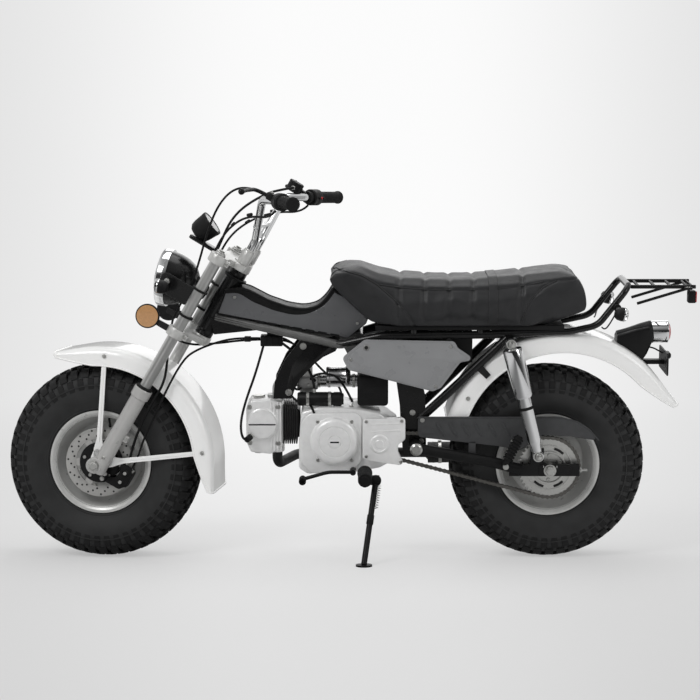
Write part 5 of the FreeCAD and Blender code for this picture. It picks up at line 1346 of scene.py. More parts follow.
def makeBars():
    size = barSize
    bm = bmesh.new()
    for s in sides:
        route = [mirrorY(p, s) for p in size["route"]]
        bend = rounded(route, 42, 8, closed=False)
        swept(bm, bend, size["radius"], fork, False)
    rod(bm, (-6, -95, 158), (-6, 95, 158), 7, fork, 24)
    for s in sides:
        rod(bm, (-6, 88 * s, 158), (-6, 98 * s, 158), 9, fork, 24, 2)
    piece("high_bars", bm, "fork", [chrome], instead=["handlebar"])
    bm = bmesh.new()
    for s in sides:
        end = mirrorY(size["route"][-1], s)
        way = (end - mirrorY(size["route"][-2], s)).normalized()
        at = fork @ facing(end - way * 112, way)
        profile = [(0, 11.1), (0, 20), (1, 20.5), (4, 20.5), (5, 17)]
        for k in range(21):
            z = 9 + 4.4 * k
            profile += [(z, 16.5), (z + 2.8, 16.5), (z + 3.2, 15.4), (z + 4, 15.4)]
        profile += [(102, 16.6), (110, 17), (111, 18.5), (114.5, 18.5), (116, 16.5), (116, 0)]
        turned(bm, profile, at, 40, 0)
    piece("ribbed_grips", bm, "fork", [softRubber], instead=["grips"])
    for side, s in (("left", left), ("right", right)):
        bm = bmesh.new()
        end = mirrorY(size["route"][-1], s)
        way = (end - mirrorY(size["route"][-2], s)).normalized()
        start = mirrorY(size["start"], s)
        at = fork @ facing(end - way * 152, way)
        turned(bm, [(0, 11), (0, 20), (2, 23), (18.2, 23), (18.8, 22.2), (20.2, 22.2), (20.8, 23), (37, 23),
                    (39, 20), (39, 11)], at, 40, 0)
        turned(bm, [(-17, 11), (-17, 16), (-15.5, 17), (-1.5, 17), (0, 16), (0, 11)], at, 32, 0)
        # Switches and buttons on the block's rider side
        for along, color, radius in ((8, 2, 4.2), (19, 3, 3.6), (30, 2, 4.2)):
            button = end - way * (152 - along)
            rod(bm, button + Vector((17, 0, 8)), button + Vector((25, 0, 12)), radius, fork, 20, 0.8, color)
        screw(bm, end - way * 132 + Vector((-6, 0, -22)), -upZ, 3, fork, 1)
        low = start + Vector((-34, -19 if s > 0 else -11, -10))
        high = start + Vector((-4, 11 if s > 0 else 19, 10))
        boxed(bm, low, high, fork, 4, 3, 0)
        bore = start + Vector((-20, 4 * s, 6))
        rod(bm, bore, bore + Vector((0, 0, 3.9)), 8.5, fork, 28, 0.8, 0, 4.3)
        # The bore is filled with a dark plug, painted shade of the hole
        rod(bm, bore + Vector((0, 0, -1)), bore + Vector((0, 0, 3.2)), 4.3, fork, 20, 0, 4)
        bolt(bm, start + Vector((-26, -9 * s, 10)), upZ, 4, fork, 1)
        lever = [start + Vector((-14, 0, 0)), Vector((-36, 238 * s, 258)), Vector((-44, 300 * s, 252)),
                 Vector((-46, 352 * s, 248))]
        swept(bm, rounded(lever, 22, 5, False), 5.2, fork, False, slot=5)
        ball(bm, (-46, 356 * s, 248), 8.6, fork, 5)
        materials = [blackPlastic, zinc, softRubber, redLens, dialAndHoleShade, blackSatin]
        if side == "right":
            pot = fork @ Matrix.Translation((start.x - 44, start.y - 24, start.z - 6))
            turned(bm, [(0, 0), (0, 18), (3, 21), (22, 22), (23, 21.2), (24, 22), (28, 22), (30, 20.5), (30, 0)],
                   pot, 40, 0)
            for k in range(3):
                a = math.tau * k / 3
                screw(bm, (start.x - 44 + 15 * math.cos(a), start.y - 24 + 15 * math.sin(a), start.z + 24), upZ,
                      2.6, fork, 1)
            rod(bm, (start.x - 44, start.y - 47, start.z + 6), (start.x - 44, start.y - 42, start.z + 6), 6, fork,
                24, 0.5, 1)
        piece(side + "_switchgear", bm, "fork", materials, instead=[side + "_controls"])


makeBars()
print("bars made")

# Hoses, cables and looms: those that cross the steering are laid once, from points on the fork and the frame
footOf = forkSize["axle"][1] + 36
hoseRoute = [(-11, 191.4, 268), (-24, 172, 258), (-66, 138, 218), (-104, 78, 132), (-93, 72, 31), (-82, 66, -60),
             (-78, 45, -150), (-76, 0, -186), (-76, -45, -202), (-62, -80, -240), (-30, -98, -290),
             (-10, -112, -340), (-12, -114, -400), (-8, -112, -480), (2, -100, -545), (8, -85, -572),
             (8, -84, footOf + 0.3)]
clutchUp = [(-3.4, -224, 259), (-40, -206, 257), (-98, -166, 226), (-124, -104, 152), (-116, -66, 60),
            (-98, -64, -10), (-84, -66, -80), (-88, -50, -150), (-88, -34, -200), (-70, -18, -232), (-30, 0, -242)]
clutchDown = [(-290, 18, 594), (-235, 28, 600), (-150, 34, 602), (-96, 36, 596), (-50, 40, 560), (-18, 50, 520),
              (20, 72, 480), (44, 94, 446), (46, 95, 415.6)]
sensorUp = [(26, -84, footOf + 0.3), (26, -88, footOf + 34), (16, -106, -500), (12, -112, -425), (4, -112, -340),
            (0, -90, -270), (4, -50, -236)]
leadDown = [(-297, -22, 604), (-239, -16, 615), (-178.8, -8, 612)]
throttleRoute = [(-116.1, -6, 612), (-94, -8, 603), (-70, -10, 578), (-60, -8, 534.8)]


bendsAt = 9  # the point of clutchUp where the cable leaves the fork


def makeCables():
    bm = bmesh.new()
    swept(bm, hoseRoute, 3.5, fork)
    rod(bm, (8, -84, footOf + 1), (8, -84, footOf + 14), 5.4, fork, 20, 1, 1)
    for s in sides:
        swept(bm, [(41, 262 * s, 239.4), (36, 248 * s, 214), (-15, 190 * s, 188), (-52, 125 * s, 150),
                   (-78, 62 * s, 90), (-78, 42 * s, 20), (-64, 22 * s, -40), (-79.6, 8 * s, -70.6)], 3, fork)
        for at, to in (((-20, 186 * s, 190), (-30, 170 * s, 181)), ((-60, 108 * s, 136), (-64, 96 * s, 126))):
            rod(bm, at, to, 4.4, fork, 16, 0.6, 0)
    # The clutch cable rides the fork down to a sleeve, and from there on is a piece of its own, on no body
    swept(bm, clutchUp[:bendsAt + 1], 3, fork)
    above, sleeve, below = [Vector(p) for p in clutchUp[bendsAt - 1:bendsAt + 2]]
    rod(bm, sleeve + (above - sleeve).normalized() * 8, sleeve + (below - sleeve).normalized() * 8, 4.4, fork, 16,
        0.6, 0)
    piece("fork_hoses", bm, "fork", [softRubber, zinc], instead=["brake_hose", "fork_cables"])
    crossing = [("clutch_cable", [fork @ Vector(p) for p in clutchUp[bendsAt:]]
                 + [machine @ Vector(p) for p in clutchDown],
                 fork @ Vector(clutchUp[bendsAt]), machine @ Vector(clutchDown[1])),
                ("sensor_lead", [fork @ Vector(p) for p in sensorUp] + [machine @ Vector(p) for p in leadDown],
                 fork @ Vector(sensorUp[-2]), machine @ Vector(leadDown[1]))]
    for name, route, start, end in crossing:
        bm = bmesh.new()
        swept(bm, [tuple(p) for p in route], 0.003, here, True, 12)
        mesh = bpy.data.meshes.new(name)
        bm.to_mesh(mesh)
        bm.free()
        mesh.shade_smooth()
        mesh.materials.append(softRubber)
        made = bpy.data.objects.new(name, mesh)
        bpy.context.scene.collection.objects.link(made)
        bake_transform(made)
        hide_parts("frame_cables")
    bm = bmesh.new()
    swept(bm, throttleRoute, 3, machine)
    # An in-line connector on the lead, and the clutch cable's end
    boxed(bm, (-222, -22, 604), (-204, -4, 618), machine, 2, 2, 1)
    rod(bm, (46, 95, 416), (46, 95, 434), 4.6, machine, 16, 0.8, 2)
    piece("throttle_cable", bm, "chassis", [softRubber, blackPlastic, zinc])


makeCables()
print("cables made")

# Engine: cases, covers, finned barrel, head, carburettor and starter
engineSize = {
    "case": [(-72, 262), (-50, 247), (60, 247), (110, 256), (150, 264), (200, 292), (198, 380), (150, 416),
             (100, 426), (50, 432), (-20, 432), (-66, 420), (-72, 330)],
    "crank": (26, 343), "shaft": (150, 338),
    "cover": [(102, 300), (102, 409), (218, 413), (218, 352), (198, 338), (198, 320), (218, 279), (124, 292)],
    "head": [(-218, 330), (-206, 300), (-150, 294), (-114, 320), (-114, 438), (-150, 448), (-206, 444),
             (-218, 420)],
}


def makeEngine():
    size = engineSize
    bm = bmesh.new()
    prism(bm, rounded(size["case"], 12, 3), -80, 80, machine, 7, 3, 0)
    x, z = size["crank"]
    # Generator cover on the left: skirt, dome, ring and cap
    skirt = [(x - 92, z - 60), (x - 70, z - 90), (x + 40, z - 92), (x + 72, z - 60), (x + 74, z + 62),
             (x + 60, z + 78), (x - 70, z + 76), (x - 92, z + 52)]
    prism(bm, rounded(skirt, 18, 4), -94, -78, machine, 4, 3, 0)
    at = machine @ facing((x, -92, z), -acrossY)
    turned(bm, [(0, 0), (0, 68), (6, 66), (14, 62), (18, 56), (19, 48), (19, 44), (17.6, 43), (17.6, 41.6),
                (19, 41), (20, 30), (20, 19), (18.6, 18), (18.6, 16.6), (20.4, 16), (21, 12), (21, 0)], at, 72, 0)
    # A black bar across the cap, painted shade of the slot in it
    boxed(bm, (-12, -2, 20.6), (12, 2, 21.2), at, 0, 1, 2)
    for k in range(4):
        a = math.tau * (k + 0.5) / 4
        screw(bm, (x + 76 * math.cos(a) * 0.86, -94, z + 84 * math.sin(a) * 0.9), -acrossY, 5, machine, 1)
    # Sprocket side of the case behind its cover
    turned(bm, [(0, 0), (0, 34), (4, 36), (8, 36), (12, 30), (12, 0)],
           machine @ facing((size["shaft"][0], -80, size["shaft"][1]), -acrossY), 48, 0)
    # Clutch cover on the right, with a filler cap, a rib and its screws
    lid = [(x - 84, z - 44), (x - 62, z - 84), (x + 70, z - 86), (x + 112, z - 50), (x + 116, z + 40),
           (x + 84, z + 80), (x - 50, z + 80), (x - 84, z + 40)]
    prism(bm, rounded(lid, 22, 4), 78, 92, machine, 4, 3, 0)
    at = machine @ facing((x + 20, 90, z + 2), acrossY)
    turned(bm, [(0, 0), (0, 74), (6, 72), (11, 67), (13, 60), (13, 52), (12, 51), (12, 49), (13.4, 48), (14, 30),
                (14, 0)], at, 72, 0)
    for k in range(9):
        a = math.tau * k / 9
        screw(bm, (x + 16 + 92 * math.cos(a), 92, z - 2 + 72 * math.sin(a)), acrossY, 4.6, machine, 1)
    at = machine @ facing((x - 58, 92, z - 52), acrossY)
    turned(bm, [(0, 0), (0, 15), (8, 15), (10, 13), (10, 0)], at, 10, 2)
    rod(bm, (x + 96, 90, z - 24), (x + 96, 108, z - 24), 9, machine, 28, 1, 1)
    # Fins under the case and the breather boss on top
    for k in range(6):
        boxed(bm, (-44 + k * 20, -62, 243), (-38 + k * 20, 62, 252), machine, 1, 1, 0)
    rod(bm, (84, -30, 424), (84, -30, 442), 12, machine, 28, 2, 0)
    bolt(bm, (-30, 0, 246.6), -upZ, 11, machine, 1)
    for y in (-48, 48):
        bolt(bm, (70, y, 428), upZ, 6, machine, 1)
    piece("engine_cases", bm, "chassis", [castSilver, zinc, blackSatin], instead=["crankcase"])

    bm = bmesh.new()
    cover = rounded(size["cover"], 9, 3)
    prism(bm, cover, -120, -113, machine, 2, 3, 0)
    wall = [tuple(Vector((158, 346)) + (Vector(p) - Vector((158, 346))) * 0.94) for p in size["cover"]]
    prism(bm, rounded(wall, 8, 3), -114, -86, machine, 1, 1, 0)
    at = machine @ facing((size["shaft"][0] - 2, -119.5, size["shaft"][1] + 2), -acrossY)
    turned(bm, [(0, 0), (0, 27), (1.5, 26), (3, 24), (3.5, 20), (2.8, 19), (2.8, 12), (3.5, 11), (3.5, 0)], at, 56,
           0)
    for px, pz in ((112, 402), (112, 306), (208, 404), (206, 290)):
        screw(bm, (px, -119.6, pz), -acrossY, 4.6, machine, 1)
    prism(bm, rounded([(124, 372), (206, 376), (206, 380), (124, 376)], 1.5), -121.2, -119, machine, 0.6, 1, 0)
    prism(bm, rounded([(124, 392), (206, 395), (206, 399), (124, 396)], 1.5), -121.2, -119, machine, 0.6, 1, 0)
    piece("drive_cover", bm, "chassis", [castSilver, zinc], instead=["sprocket_cover"])

    bm = bmesh.new()
    boxed(bm, (-116, -37, 339), (-70, 37, 419), machine, 6, 3, 0)
    for k in range(7):
        x0 = -112.5 + 5.9 * k
        fin = [(-54, 330), (-48, 324), (48, 324), (54, 330), (54, 428), (48, 434), (-48, 434), (-54, 428)]
        plate = machine @ Matrix.Translation((x0, 0, 0)) @ Matrix.Rotation(math.pi / 2, 4, "Z")
        prism(bm, rounded(fin, 6), 0, 3.8, plate, 0.5, 1, 0)
    piece("finned_barrel", bm, "chassis", [gunmetal], instead=["cylinder"])

    bm = bmesh.new()
    prism(bm, rounded(size["head"], 10, 3), -46, 46, machine, 5, 3, 0)
    for k in range(4):
        x0 = -150 + k * 9
        boxed(bm, (x0, -50, 304), (x0 + 3, 50, 442), machine, 1, 1, 0)
    for s in sides:
        at = machine @ facing((-173, 44 * s, 381), acrossY * s)
        turned(bm, [(0, 0), (0, 44), (5, 44), (7, 42), (8, 40), (14, 40), (17, 38), (18, 35), (18, 0)], at, 64, 0)
        prism(bm, rounded([(-37, -1.8), (37, -1.8), (37, 1.8), (-37, 1.8)], 1.5), -1.2, 1.2,
              at @ Matrix.Translation((0, 0, 18)) @ Matrix.Rotation(-math.pi / 2, 4, "X"), 0.5, 1, 2)
        for dx, dz in ((-38, 46), (-38, -54), (40, 46), (40, -56)):
            bolt(bm, (-170 + dx, 46 * s, 381 + dz), acrossY * s, 5.5, machine, 1)
    rod(bm, (-134, 0, 430), (-134, 0, 448.6), 18, machine, 32, 2, 0)
    rod(bm, (-134, 0, 293.4), (-134, 0, 316), 20, machine, 32, 2, 0)
    # Rocker caps on the top and the bottom, and the spark plug with its cap and lead
    for z0, z1 in ((444, 452), (298, 290)):
        rod(bm, (-184, 0, z0), (-184, 0, z1), 17, machine, 8, 1.5, 1)
    rod(bm, (-196, -46, 352), (-206, -66, 347), 7, machine, 6, 1, 1)
    rod(bm, (-205, -64, 347.5), (-215, -84, 343), 8.5, machine, 24, 1.5, 3)
    swept(bm, [(-214, -83, 344), (-226, -96, 346), (-232, -80, 392), (-216, -44, 452), (-190, -20, 520),
               (-170, -14, 592)], 3.4, machine, True, 10, 3)
    piece("head_casting", bm, "chassis", [castSilver, zinc, gunmetal, softRubber], instead=["cylinder_head"])

    bm = bmesh.new()
    turned(bm, [(0, 0), (0, 15), (3, 18), (6, 19), (92, 19), (94, 17.5), (98, 17.5), (100, 19), (118, 19),
                (122, 16), (126, 15), (126, 0)], machine @ facing((-76, -52, 451.3), backX), 40, 0)
    for x0 in (-52, 8):
        rod(bm, (x0, -52, 451.3), (x0 + 8, -52, 451.3), 20.2, machine, 36, 0.6, 1)
    rod(bm, (-30, -52, 468), (-30, -52, 480), 5, machine, 16, 1, 1)
    swept(bm, [(-30, -52, 478), (-30, -50, 500), (-60, -30, 560), (-120, -12, 600)], 3.6, machine, True, 10, 2)
    piece("starter", bm, "chassis", [blackSatin, zinc, softRubber], instead=["starter_motor"])

    bm = bmesh.new()
    boxed(bm, (-78, -24, 470), (-20, 24, 508), machine, 6, 3, 0)
    turned(bm, [(0, 0), (0, 16), (4, 20), (22, 21), (26, 19), (30, 12), (30, 0)],
           machine @ facing((-50, 0, 474), -upZ), 40, 0)
    boxed(bm, (-85, -21, 505), (-36, 21, 534), machine, 4, 3, 6)
    boxed(bm, (-79, -22.4, 511), (-42, -20, 528), machine, 1.5, 2, 6)
    turned(bm, [(0, 0), (0, 24), (3, 27), (8, 28.5), (14, 27), (50, 27), (54, 28.5), (60, 27), (66, 22), (68, 0)],
           machine @ facing((2, 0, 504), backX), 48, 3)
    turned(bm, [(0, 0), (0, 7), (9, 6), (14, 4), (14, 0)], machine @ facing((-60, -6, 534), upZ), 20, 2)
    rod(bm, (-20, 0, 492), (88, 0, 492), 17, machine, 40, 1, 3)
    for x0 in (-22, 6, 74):
        rod(bm, (x0, 0, 492), (x0 + 8, 0, 492), 19, machine, 36, 0.8, 4)
        screw(bm, (x0 + 4, -19, 494), -acrossY, 4, machine, 4)
    neck = rounded([(-78, 0, 489), (-134, 0, 489), (-134, 0, 449)], 22, 8, False)
    swept(bm, neck, 13, machine, False, slot=0)
    prism(bm, rounded([(-160, -18), (-108, -18), (-108, 18), (-160, 18)], 10), 448.6, 455,
          machine @ lyingFlat, 1, 1, 0)
    # Screws, the idle adjuster and the drain of the float bowl
    for y in (-18, 18):
        for x0 in (-72, -30):
            screw(bm, (x0, y, 470), -upZ, 3, machine, 4)
    rod(bm, (-46, -24, 486), (-46, -34, 486), 3.6, machine, 16, 0.5, 4)
    rod(bm, (-30, -24, 498), (-30, -31, 498), 4.6, machine, 16, 0.5, 5)
    for route in ([(-40, -22, 500), (-34, -46, 516), (0, -52, 524), (44, -44, 508), (74, -36, 440)],
                  [(-70, -16, 516), (-88, -34, 500), (-100, -40, 470), (-84, -56, 448), (-60, -62, 436)],
                  [(-66, -20, 476), (-78, -44, 470), (-96, -58, 500), (-80, -40, 560), (-30, -20, 596)],
                  [(-50, 0, 444), (-48, -20, 432), (-38, -70, 436), (-30, -92, 420)]):
        swept(bm, route, 3.2, machine, True, 10, 5)
    piece("carb", bm, "chassis", [castPlain, blackPlastic, softRubber, polished, zinc, softRubber, silverPaint],
          instead=["carburettor"])


makeEngine()
print("engine made")

# Rear suspension, guard, pegs, stand and exhaust trims
shockSize = {"top": (498, 623), "low": (575, 316), "y": 156}


def makeShocks():
    size = shockSize
    bm = bmesh.new()
    for s in sides:
        top = Vector((size["top"][0], size["y"] * s, size["top"][1]))
        low = Vector((size["low"][0], size["y"] * s, size["low"][1]))
        way = (low - top).normalized()
        reach = (low - top).length
        at = machine @ facing(top, way)
        turned(bm, [(12, 12), (12, 20), (15, 25), (20, 26.8), (144, 26.8), (148, 26.2), (150, 25), (150, 20.5)], at,
               56, 0)
        turned(bm, [(146, 10), (146, 19.6), (reach - 44, 19.6), (reach - 38, 18), (reach - 30, 15),
                    (reach - 10, 13), (reach - 6, 8)], at, 48, 0)
        turned(bm, ringProfile(19.4, 21.6, 176, 184, 1.5), at, 40, 1)
        for end in (top, low):
            rod(bm, end - acrossY * 12, end + acrossY * 12, 15, machine, 40, 2, 0, 8.4)
            rod(bm, end - acrossY * 13, end + acrossY * 13, 10.5, machine, 32, 1, 1, 8.2)
            nut = end + acrossY * s * 13
            turned(bm, [(0, 0), (0, 13), (1.5, 13), (1.5, 0)], machine @ facing(nut, acrossY * s), 24, 2)
            turned(bm, [(1.5, 0), (1.5, 10), (5, 10), (9, 8), (11, 4), (11.4, 0)],
                   machine @ facing(nut, acrossY * s), 24, 2)
    piece("chrome_shocks", bm, "chassis", [chrome, softRubber, zinc], instead=["shock_absorbers"])


def makeGuard():
    bm = bmesh.new()
    outline = [(252, 413), (642, 413), (684, 402), (718, 380), (748, 346), (664, 359), (593, 363), (530, 321),
               (468, 332), (252, 357)]
    prism(bm, rounded(outline, 12, 3), -109.3, -106.3, machine, 0.9, 1, 0)
    prism(bm, [(254, 409), (640, 409), (640, 412), (254, 412)], -109.3, -97.5, machine, 1, 1, 0)
    rim = rounded([(254, 411), (642, 411), (684, 400), (716, 379), (744, 348)], 20, 5, False)
    swept(bm, [(x, -109, z) for x, z in rim], 1.8, machine, False)
    # Pressed louvres, each a slanted scale, and a bare plate
    for x0 in (300, 334, 368, 402, 440, 478):
        scale = [(x0, 398), (x0 + 6, 384), (x0 + 16, 366), (x0 + 26, 356), (x0 + 24, 366), (x0 + 16, 380),
                 (x0 + 8, 396)]
        prism(bm, rounded(scale, 3), -111.6, -108.4, machine, 1.4, 2, 0)
    prism(bm, rounded([(262, 366), (296, 366), (296, 384), (262, 384)], 2), -110.6, -109, machine, 0.5, 1, 0)
    for x0, z0 in ((264, 404), (510, 345)):
        bolt(bm, (x0, -109.3, z0), -acrossY, 5, machine, 2)
    boxed(bm, (390, -109.3, 300), (410, -106.3, 345), machine, 1, 1, 0)
    bolt(bm, (400, -109.4, 303), -acrossY, 5.5, machine, 2)
    rod(bm, (400, -112.7, 303), (400, -107, 303), 5, machine, 16, 0.4, 2)
    piece("guard_panel", bm, "chassis", [guardPaint, silverPaint, zinc], instead=["chain_guard"])


def ribbed(bm, start, way, length, radius, place, pitch, slot):
    profile = [(0, 0), (0, radius - 1)]
    z = 1.5
    while z < length - pitch:
        profile += [(z, radius), (z + pitch * 0.55, radius), (z + pitch * 0.7, radius - 1.8),
                    (z + pitch * 0.9, radius - 1.8)]
        z += pitch
    profile += [(length - 2, radius), (length, radius - 2), (length, 0)]
    turned(bm, profile, place @ facing(start, way), 36, slot)


def makeFootTrim():
    bm = bmesh.new()
    for s in sides:
        ribbed(bm, (108, 156 * s, 267), acrossY * s, 81, 18.8, machine, 7.5, 0)
        turned(bm, [(0, 0), (0, 20.5), (5, 20.5), (6, 19), (6, 0)],
               machine @ facing((108, 150 * s, 267), acrossY * s), 36, 1)
        rod(bm, (108, 237 * s, 267), (108, 239.2 * s, 267), 11, machine, 24, 0.8, 1)
        bolt(bm, (108, 149 * s, 236), acrossY * s, 7, machine, 2)
    ribbed(bm, (-61, -117, 242), -acrossY, 35, 9.8, machine, 5, 0)
    ribbed(bm, (-40, 140, 248), acrossY, 42, 9.8, machine, 5, 0)
    piece("foot_rubbers", bm, "chassis", [softRubber, blackSatin, zinc])
    bm = bmesh.new()
    for s in sides:
        way = Vector((-38, 0, -76)).normalized()
        start = Vector((525, 158 * s, 370))
        for k in range(8):
            turned(bm, ringProfile(7, 14.5, 6 + 8.6 * k, 11 + 8.6 * k, 1.6), machine @ facing(start, way), 28, 0)
        rod(bm, start, start + way * 74, 10, machine, 28, 1, 0)
        rod(bm, start + way * 72, start + way * 90, 8, machine, 24, 1, 1)
        rod(bm, (488, 143.4 * s, 287), (488, 164 * s, 287), 8, machine, 24, 1, 1)
        bolt(bm, (488, 164 * s, 287), acrossY * s, 6.5, machine, 2)
    piece("rear_pegs", bm, "chassis", [softRubber, blackSatin, zinc], instead=["passenger_pegs"])


def makeAxleTrim():
    bm = bmesh.new()
    for s in sides:
        # Adjuster plates and their bolts at the ends of the arms
        y = 128 * s
        low, high = sorted(((128 + 5.1) * s, (128 + 7.6) * s))
        block = [(580, 256), (640, 256), (662, 262), (672, 272), (662, 282), (640, 286), (580, 286)]
        prism(bm, rounded(block, 5), low, high, machine, 0.7, 1, 0)
        rod(bm, (686, y, 270), (712, y, 270), 3.4, machine, 16, 0.4, 1)
        bolt(bm, (692, y, 270), backX, 6.4, machine, 1)
        turned(bm, [(0, 0), (0, 17), (2, 17), (2, 0)], machine @ facing((610, (128 + 7.6) * s, 270), acrossY * s),
               32, 1)
        turned(bm, [(2, 0), (2, 13.4), (10, 13.4), (12, 11), (12, 0)],
               machine @ facing((610, (128 + 7.6) * s, 270), acrossY * s), 6, 1)
        turned(bm, [(0, 0), (0, 17), (2, 17), (4, 15), (6, 12), (6, 0)],
               machine @ facing((247, (128 + 15) * s, 330), acrossY * s), 32, 1)
    for k in range(5):
        boxed(bm, (592 + k * 9, -136.4, 278), (593.2 + k * 9, -135.4, 284), machine, 0, 1, 2)
    piece("axle_adjusters", bm, "chassis", [blackSatin, zinc, dialWhite])
    bm = bmesh.new()
    axleX, axleZ = forkSize["axle"]
    for s in sides:
        at = fork @ facing((axleX, 138.2 * s, axleZ), acrossY * s)
        turned(bm, [(0, 0), (0, 15), (2, 15), (2, 0)], at, 32, 0)
        turned(bm, [(2, 0), (2, 12), (8, 12), (10, 10), (10, 0)], at, 6, 0)
    piece("front_axle_nuts", bm, "fork", [zinc])


def makeCaliper():
    bm = bmesh.new()
    z0 = forkSize["axle"][1]
    for low, high in ((-88, -80), (-64, -50)):
        body = [(-28, z0 - 36), (22, z0 - 34), (37, z0 - 16), (37, z0 + 20), (24, z0 + 36), (-12, z0 + 36),
                (2, z0 + 8), (-2, z0 - 10), (-26, z0 - 22)]
        prism(bm, rounded(body, 8), low, high, fork, 2, 2, 0)
    boxed(bm, (16, -86, z0 - 22), (37, -52, z0 + 22), fork, 4, 2, 0)
    for z in (z0 - 14, z0 + 14):
        rod(bm, (16, -91, z), (16, -80, z), 9.5, fork, 28, 2, 0)
        rod(bm, (16, -91.6, z), (16, -90, z), 5, fork, 20, 0.5, 1)
    boxed(bm, (-40, -96, z0 - 38), (-22, -82, z0 - 6), fork, 3, 2, 0)
    for z in (z0 - 30, z0 - 14):
        bolt(bm, (-31, -96, z), -acrossY, 5, fork, 1)
    rod(bm, (30, -84, z0 + 22), (34, -84, z0 + 34), 3, fork, 14, 0.6, 1)
    piece("caliper_body", bm, "fork", [blackSatin, zinc], instead=["brake_caliper"])


def makeMufflerTrim():
    bm = bmesh.new()
    way = Vector((250, 0, 4)).normalized()
    at = machine @ facing((290, 184, 246), way)
    turned(bm, [(-6, 14.5), (-3, 18), (8, 28), (14, 30.4), (18, 30.4), (19, 29.8), (232, 29.8), (233, 30.4),
                (240, 30.4), (246, 28), (250, 24), (250, 13), (244, 12.6), (244, 11), (252, 10.6), (252, 8),
                (236, 8), (236, 0)], at, 64, 0)
    for z in (30, 216):
        turned(bm, ringProfile(29.7, 31.6, z, z + 9, 0.6), at, 64, 1)
    bolt(bm, Vector((290, 184, 246)) + way * 34 + Vector((0, 0, 31.4)), upZ, 5, machine, 1)
    piece("muffler_shell", bm, "chassis", [exhaustBlack, zinc])


def makeRack():
    bm = bmesh.new()
    x0, x1, level = 827.3, 1003.3, 762
    for s in sides:
        low, high = sorted((60 * s, 52 * s))
        boxed(bm, (x0, low, level - 5), (x1, high, level + 5), machine, 1.6, 2, 0)
        t0, t1 = sorted((59 * s, 80 * s))
        tab = [(x1 - 34, t0), (x1 - 12, t0), (x1 - 12, t1), (x1 - 34, t1)]
        flat = machine @ lyingFlat
        prism(bm, rounded(tab, 3), level - 5, level + 1, flat, 0.8, 1, 0)
        # A washer on the tab round a hole, the hole a dark disc of painted shade
        turned(bm, ringProfile(3.5, 6.5, 0, 0.8, 0.2), machine @ Matrix.Translation((x1 - 23, 70 * s, level + 0.6)),
               20, 1)
        turned(bm, [(0, 0), (0, 3.6), (0.3, 3.6), (0.3, 0)],
               machine @ Matrix.Translation((x1 - 23, 70 * s, level + 0.8)), 16, 2)
        rod(bm, (x1 - 20, 56 * s, level - 4), (x1 - 158, 56 * s, level - 46), 4, machine, 20, 1)
    for k in range(4):
        rod(bm, (x0 + 22 + 44 * k, -55, level), (x0 + 22 + 44 * k, 55, level), 4, machine, 20, 0)
    boxed(bm, (x1 - 12, -56, level - 5), (x1 - 8, 56, level + 5), machine, 1, 1, 0)
    boxed(bm, (x1 - 12, -10, level - 30), (x1 - 8, 10, level), machine, 1, 1, 0)
    boxed(bm, (x1 - 12, -14, level - 52), (x1 + 9, 14, level - 18), machine, 3, 3, 0)
    boxed(bm, (x1 + 7, -12, level - 50), (x1 + 11.8, 12, level - 20), machine, 1.6, 2, 3)
    piece("luggage_rack", bm, "chassis", [blackSatin, zinc, dialAndHoleShade, redLens], instead=["rear_rack"])


def makeTailLamp():
    bm = bmesh.new()
    foot = Vector((803, 0, 602.6))
    arm = [(797, 624), (850, 640), (893, 650), (897, 612), (880, 572), (867, 552), (842, 562), (797, 592)]
    prism(bm, rounded(arm, 9, 3), -33, 33, machine, 8, 3, 0)
    at = machine @ facing((800, 0, 616), Vector((96, 0, 13.6)))
    turned(bm, [(0, 0), (0, 16), (30, 20), (70, 28), (94, 31), (98, 30), (98, 0)], at, 56, 0)
    lamp = machine @ facing((896, 0, 629.6), backX)
    turned(bm, [(-6, 0), (-6, 24), (-4, 28), (0, 30), (36, 30), (40, 31), (43, 30.4), (44, 28.4), (42, 27.6)], lamp,
           64, 1)
    turned(bm, [(40, 27.8), (44.5, 26.5), (49, 20), (51.2, 10), (51.8, 0)], lamp, 64, 2)
    for r in (8, 15, 21):
        turned(bm, [(48.6 - r * 0.12, r - 0.7), (50.6 - r * 0.16, r), (48.6 - r * 0.12, r + 0.7)], lamp, 48, 2)
    # Bracket for the number plate, its lamp and its arm
    x, z = 929, 580.6
    backPlate = machine @ Matrix.Rotation(math.pi / 2, 4, "Z")
    prism(bm, rounded([(-75, z - 62), (75, z - 62), (75, z), (-75, z)], 7, 4), -x - 4, -x, backPlate, 0.8, 1, 0)
    boxed(bm, (foot.x + 66, -14, foot.z - 62), (x + 2, 14, foot.z - 50), machine, 2, 2, 0)
    # Rings round the plate's bolt holes, each hole a dark disc of painted shade
    for s in sides:
        turned(bm, [(0, 0), (0, 3.3), (0.3, 3.3), (0.3, 0)], machine @ facing((x + 4, 60 * s, z - 28), backX), 20,
               3)
        turned(bm, ringProfile(3.4, 6, 0, 0.5, 0.2), machine @ facing((x + 4, 60 * s, z - 28), backX), 20, 0)
    boxed(bm, (x + 1, -22, z - 22), (x + 19, 22, z - 8), machine, 4, 3, 0)
    boxed(bm, (x + 4, -17, z - 24.4), (x + 16, 17, z - 21.6), machine, 1, 1, 4)
    swept(bm, [(x + 4, 10, z - 14), (x - 6, 16, z - 10), (x - 30, 16, z + 4), (x - 60, 10, z + 6)], 2.2, machine)
    piece("tail_light", bm, "chassis", [blackSatin, chrome, redLens, dialAndHoleShade, lensGlass], instead=["tail_lamp"])


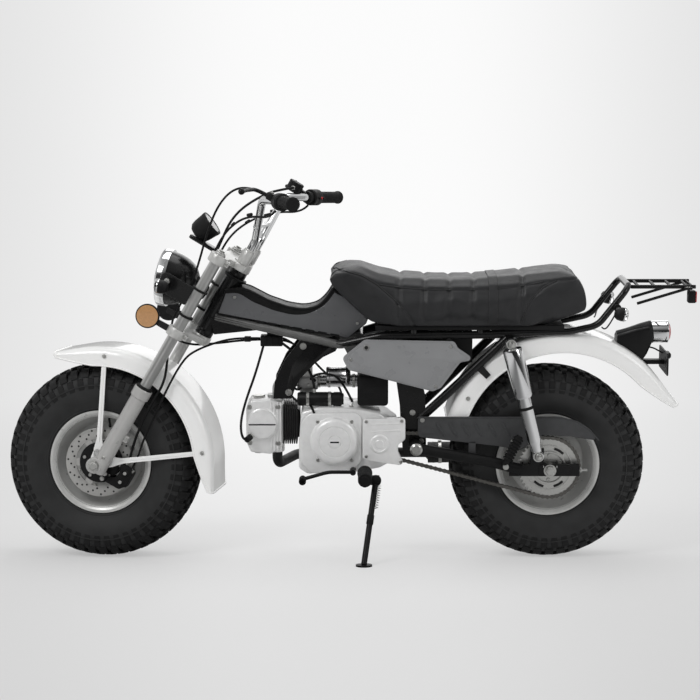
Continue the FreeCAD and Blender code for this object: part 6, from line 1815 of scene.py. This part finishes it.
def makeFrameTrim():
    bm = bmesh.new()
    # Hanger and upright bolts, rail rubbers, the rib of the hanger and the lower rails
    for s in sides:
        for x, z, y in ((-100, 470, 54), (-60, 598, 54)):
            bolt(bm, (x, y * s, z), acrossY * s, 7.5, machine, 1)
        for x, z in ((204, 612), (262, 340), (238, 420)):
            bolt(bm, (x, 84.2 * s, z), acrossY * s, 6.4, machine, 1)
        for x in (190, 335):
            rod(bm, (x, 99 * s, 620), (x, 99.8 * s, 620), 8, machine, 24, 0.2, 2)
        rib = [(-20, 606), (20, 598), (12, 582), (-30, 548), (-70, 506), (-88, 468), (-104, 468), (-102, 500),
               (-90, 544), (-54, 600)]
        prism(bm, rounded(rib, 8), *sorted((53.8 * s, 55.2 * s)), machine, 1.2, 2, 0)
        rail = rounded([(-300, 22 * s, 673.8), (40, 62 * s, 603), (92, 72 * s, 615)], 60, 6, False)
        swept(bm, rail, 11.5, machine, False, 8, 3)
    piece("frame_fixings", bm, "chassis", [blackGloss, zinc, softRubber, railPaint])
    bm = bmesh.new()
    boxed(bm, (-178, -20, 591), (-117, 20, 620), machine, 3, 2, 0)
    boxed(bm, (-160, -12, 612), (-136, 12, 636), machine, 2, 2, 0)
    for x in (-168, -152, -136):
        boxed(bm, (x, -21.4, 594), (x + 8, -19, 617), machine, 0.8, 1, 0)
    piece("connector_box", bm, "chassis", [blackPlastic], instead=["electrics_box"])
    bm = bmesh.new()
    boxed(bm, (88, -70, 434), (172, 70, 520), machine, 9, 4, 0)
    for z in (452, 470, 488, 506):
        for s in sides:
            boxed(bm, (96, 68.5 * s - 2, z), (164, 68.5 * s + 2, z + 4), machine, 1.5, 2, 0)
    piece("intake_box", bm, "chassis", [blackPlastic], instead=["air_box"])


def makeStandTrim():
    bm = bmesh.new()
    at, axis = jointPlace("stand_hinge")
    # A rubber sleeve round the middle of the leg and the spring beside it
    line = Vector((-math.sin(math.radians(8)), -math.sin(math.radians(26)),
                   -math.cos(math.radians(26)) * math.cos(math.radians(8)))).normalized()
    down = (machine.to_3x3() @ line).normalized()
    sleeve = Matrix.Translation(at) @ facing((0, 0, 0), down) @ toMetres
    turned(bm, ringProfile(8, 9.6, 96, 122, 0.8), sleeve, 28, 0)
    coil = []
    for k in range(16 * 9 + 1):
        a = math.tau * k / 16
        coil.append((13 + 4.2 * math.cos(a), 4.2 * math.sin(a), 14 + k * 0.42))
    swept(bm, coil, 0.9, sleeve, False, slot=1)
    rod(bm, (8, 0, 76), (14, 0, 74.5), 2.2, sleeve, 14, 0.4, 1)
    turned(bm, [(-5.2, 0), (-5.2, 12), (5.2, 12), (5.2, 0)],
           Matrix.Translation(at) @ facing((0, 0, 0), axis) @ toMetres, 32, 2)
    piece("stand_spring", bm, "stand", [softRubber, zinc, blackSatin])


makeShocks()
makeGuard()
makeFootTrim()
makeAxleTrim()
makeCaliper()
makeMufflerTrim()
makeRack()
makeTailLamp()
makeFrameTrim()
makeStandTrim()
print("fittings made")
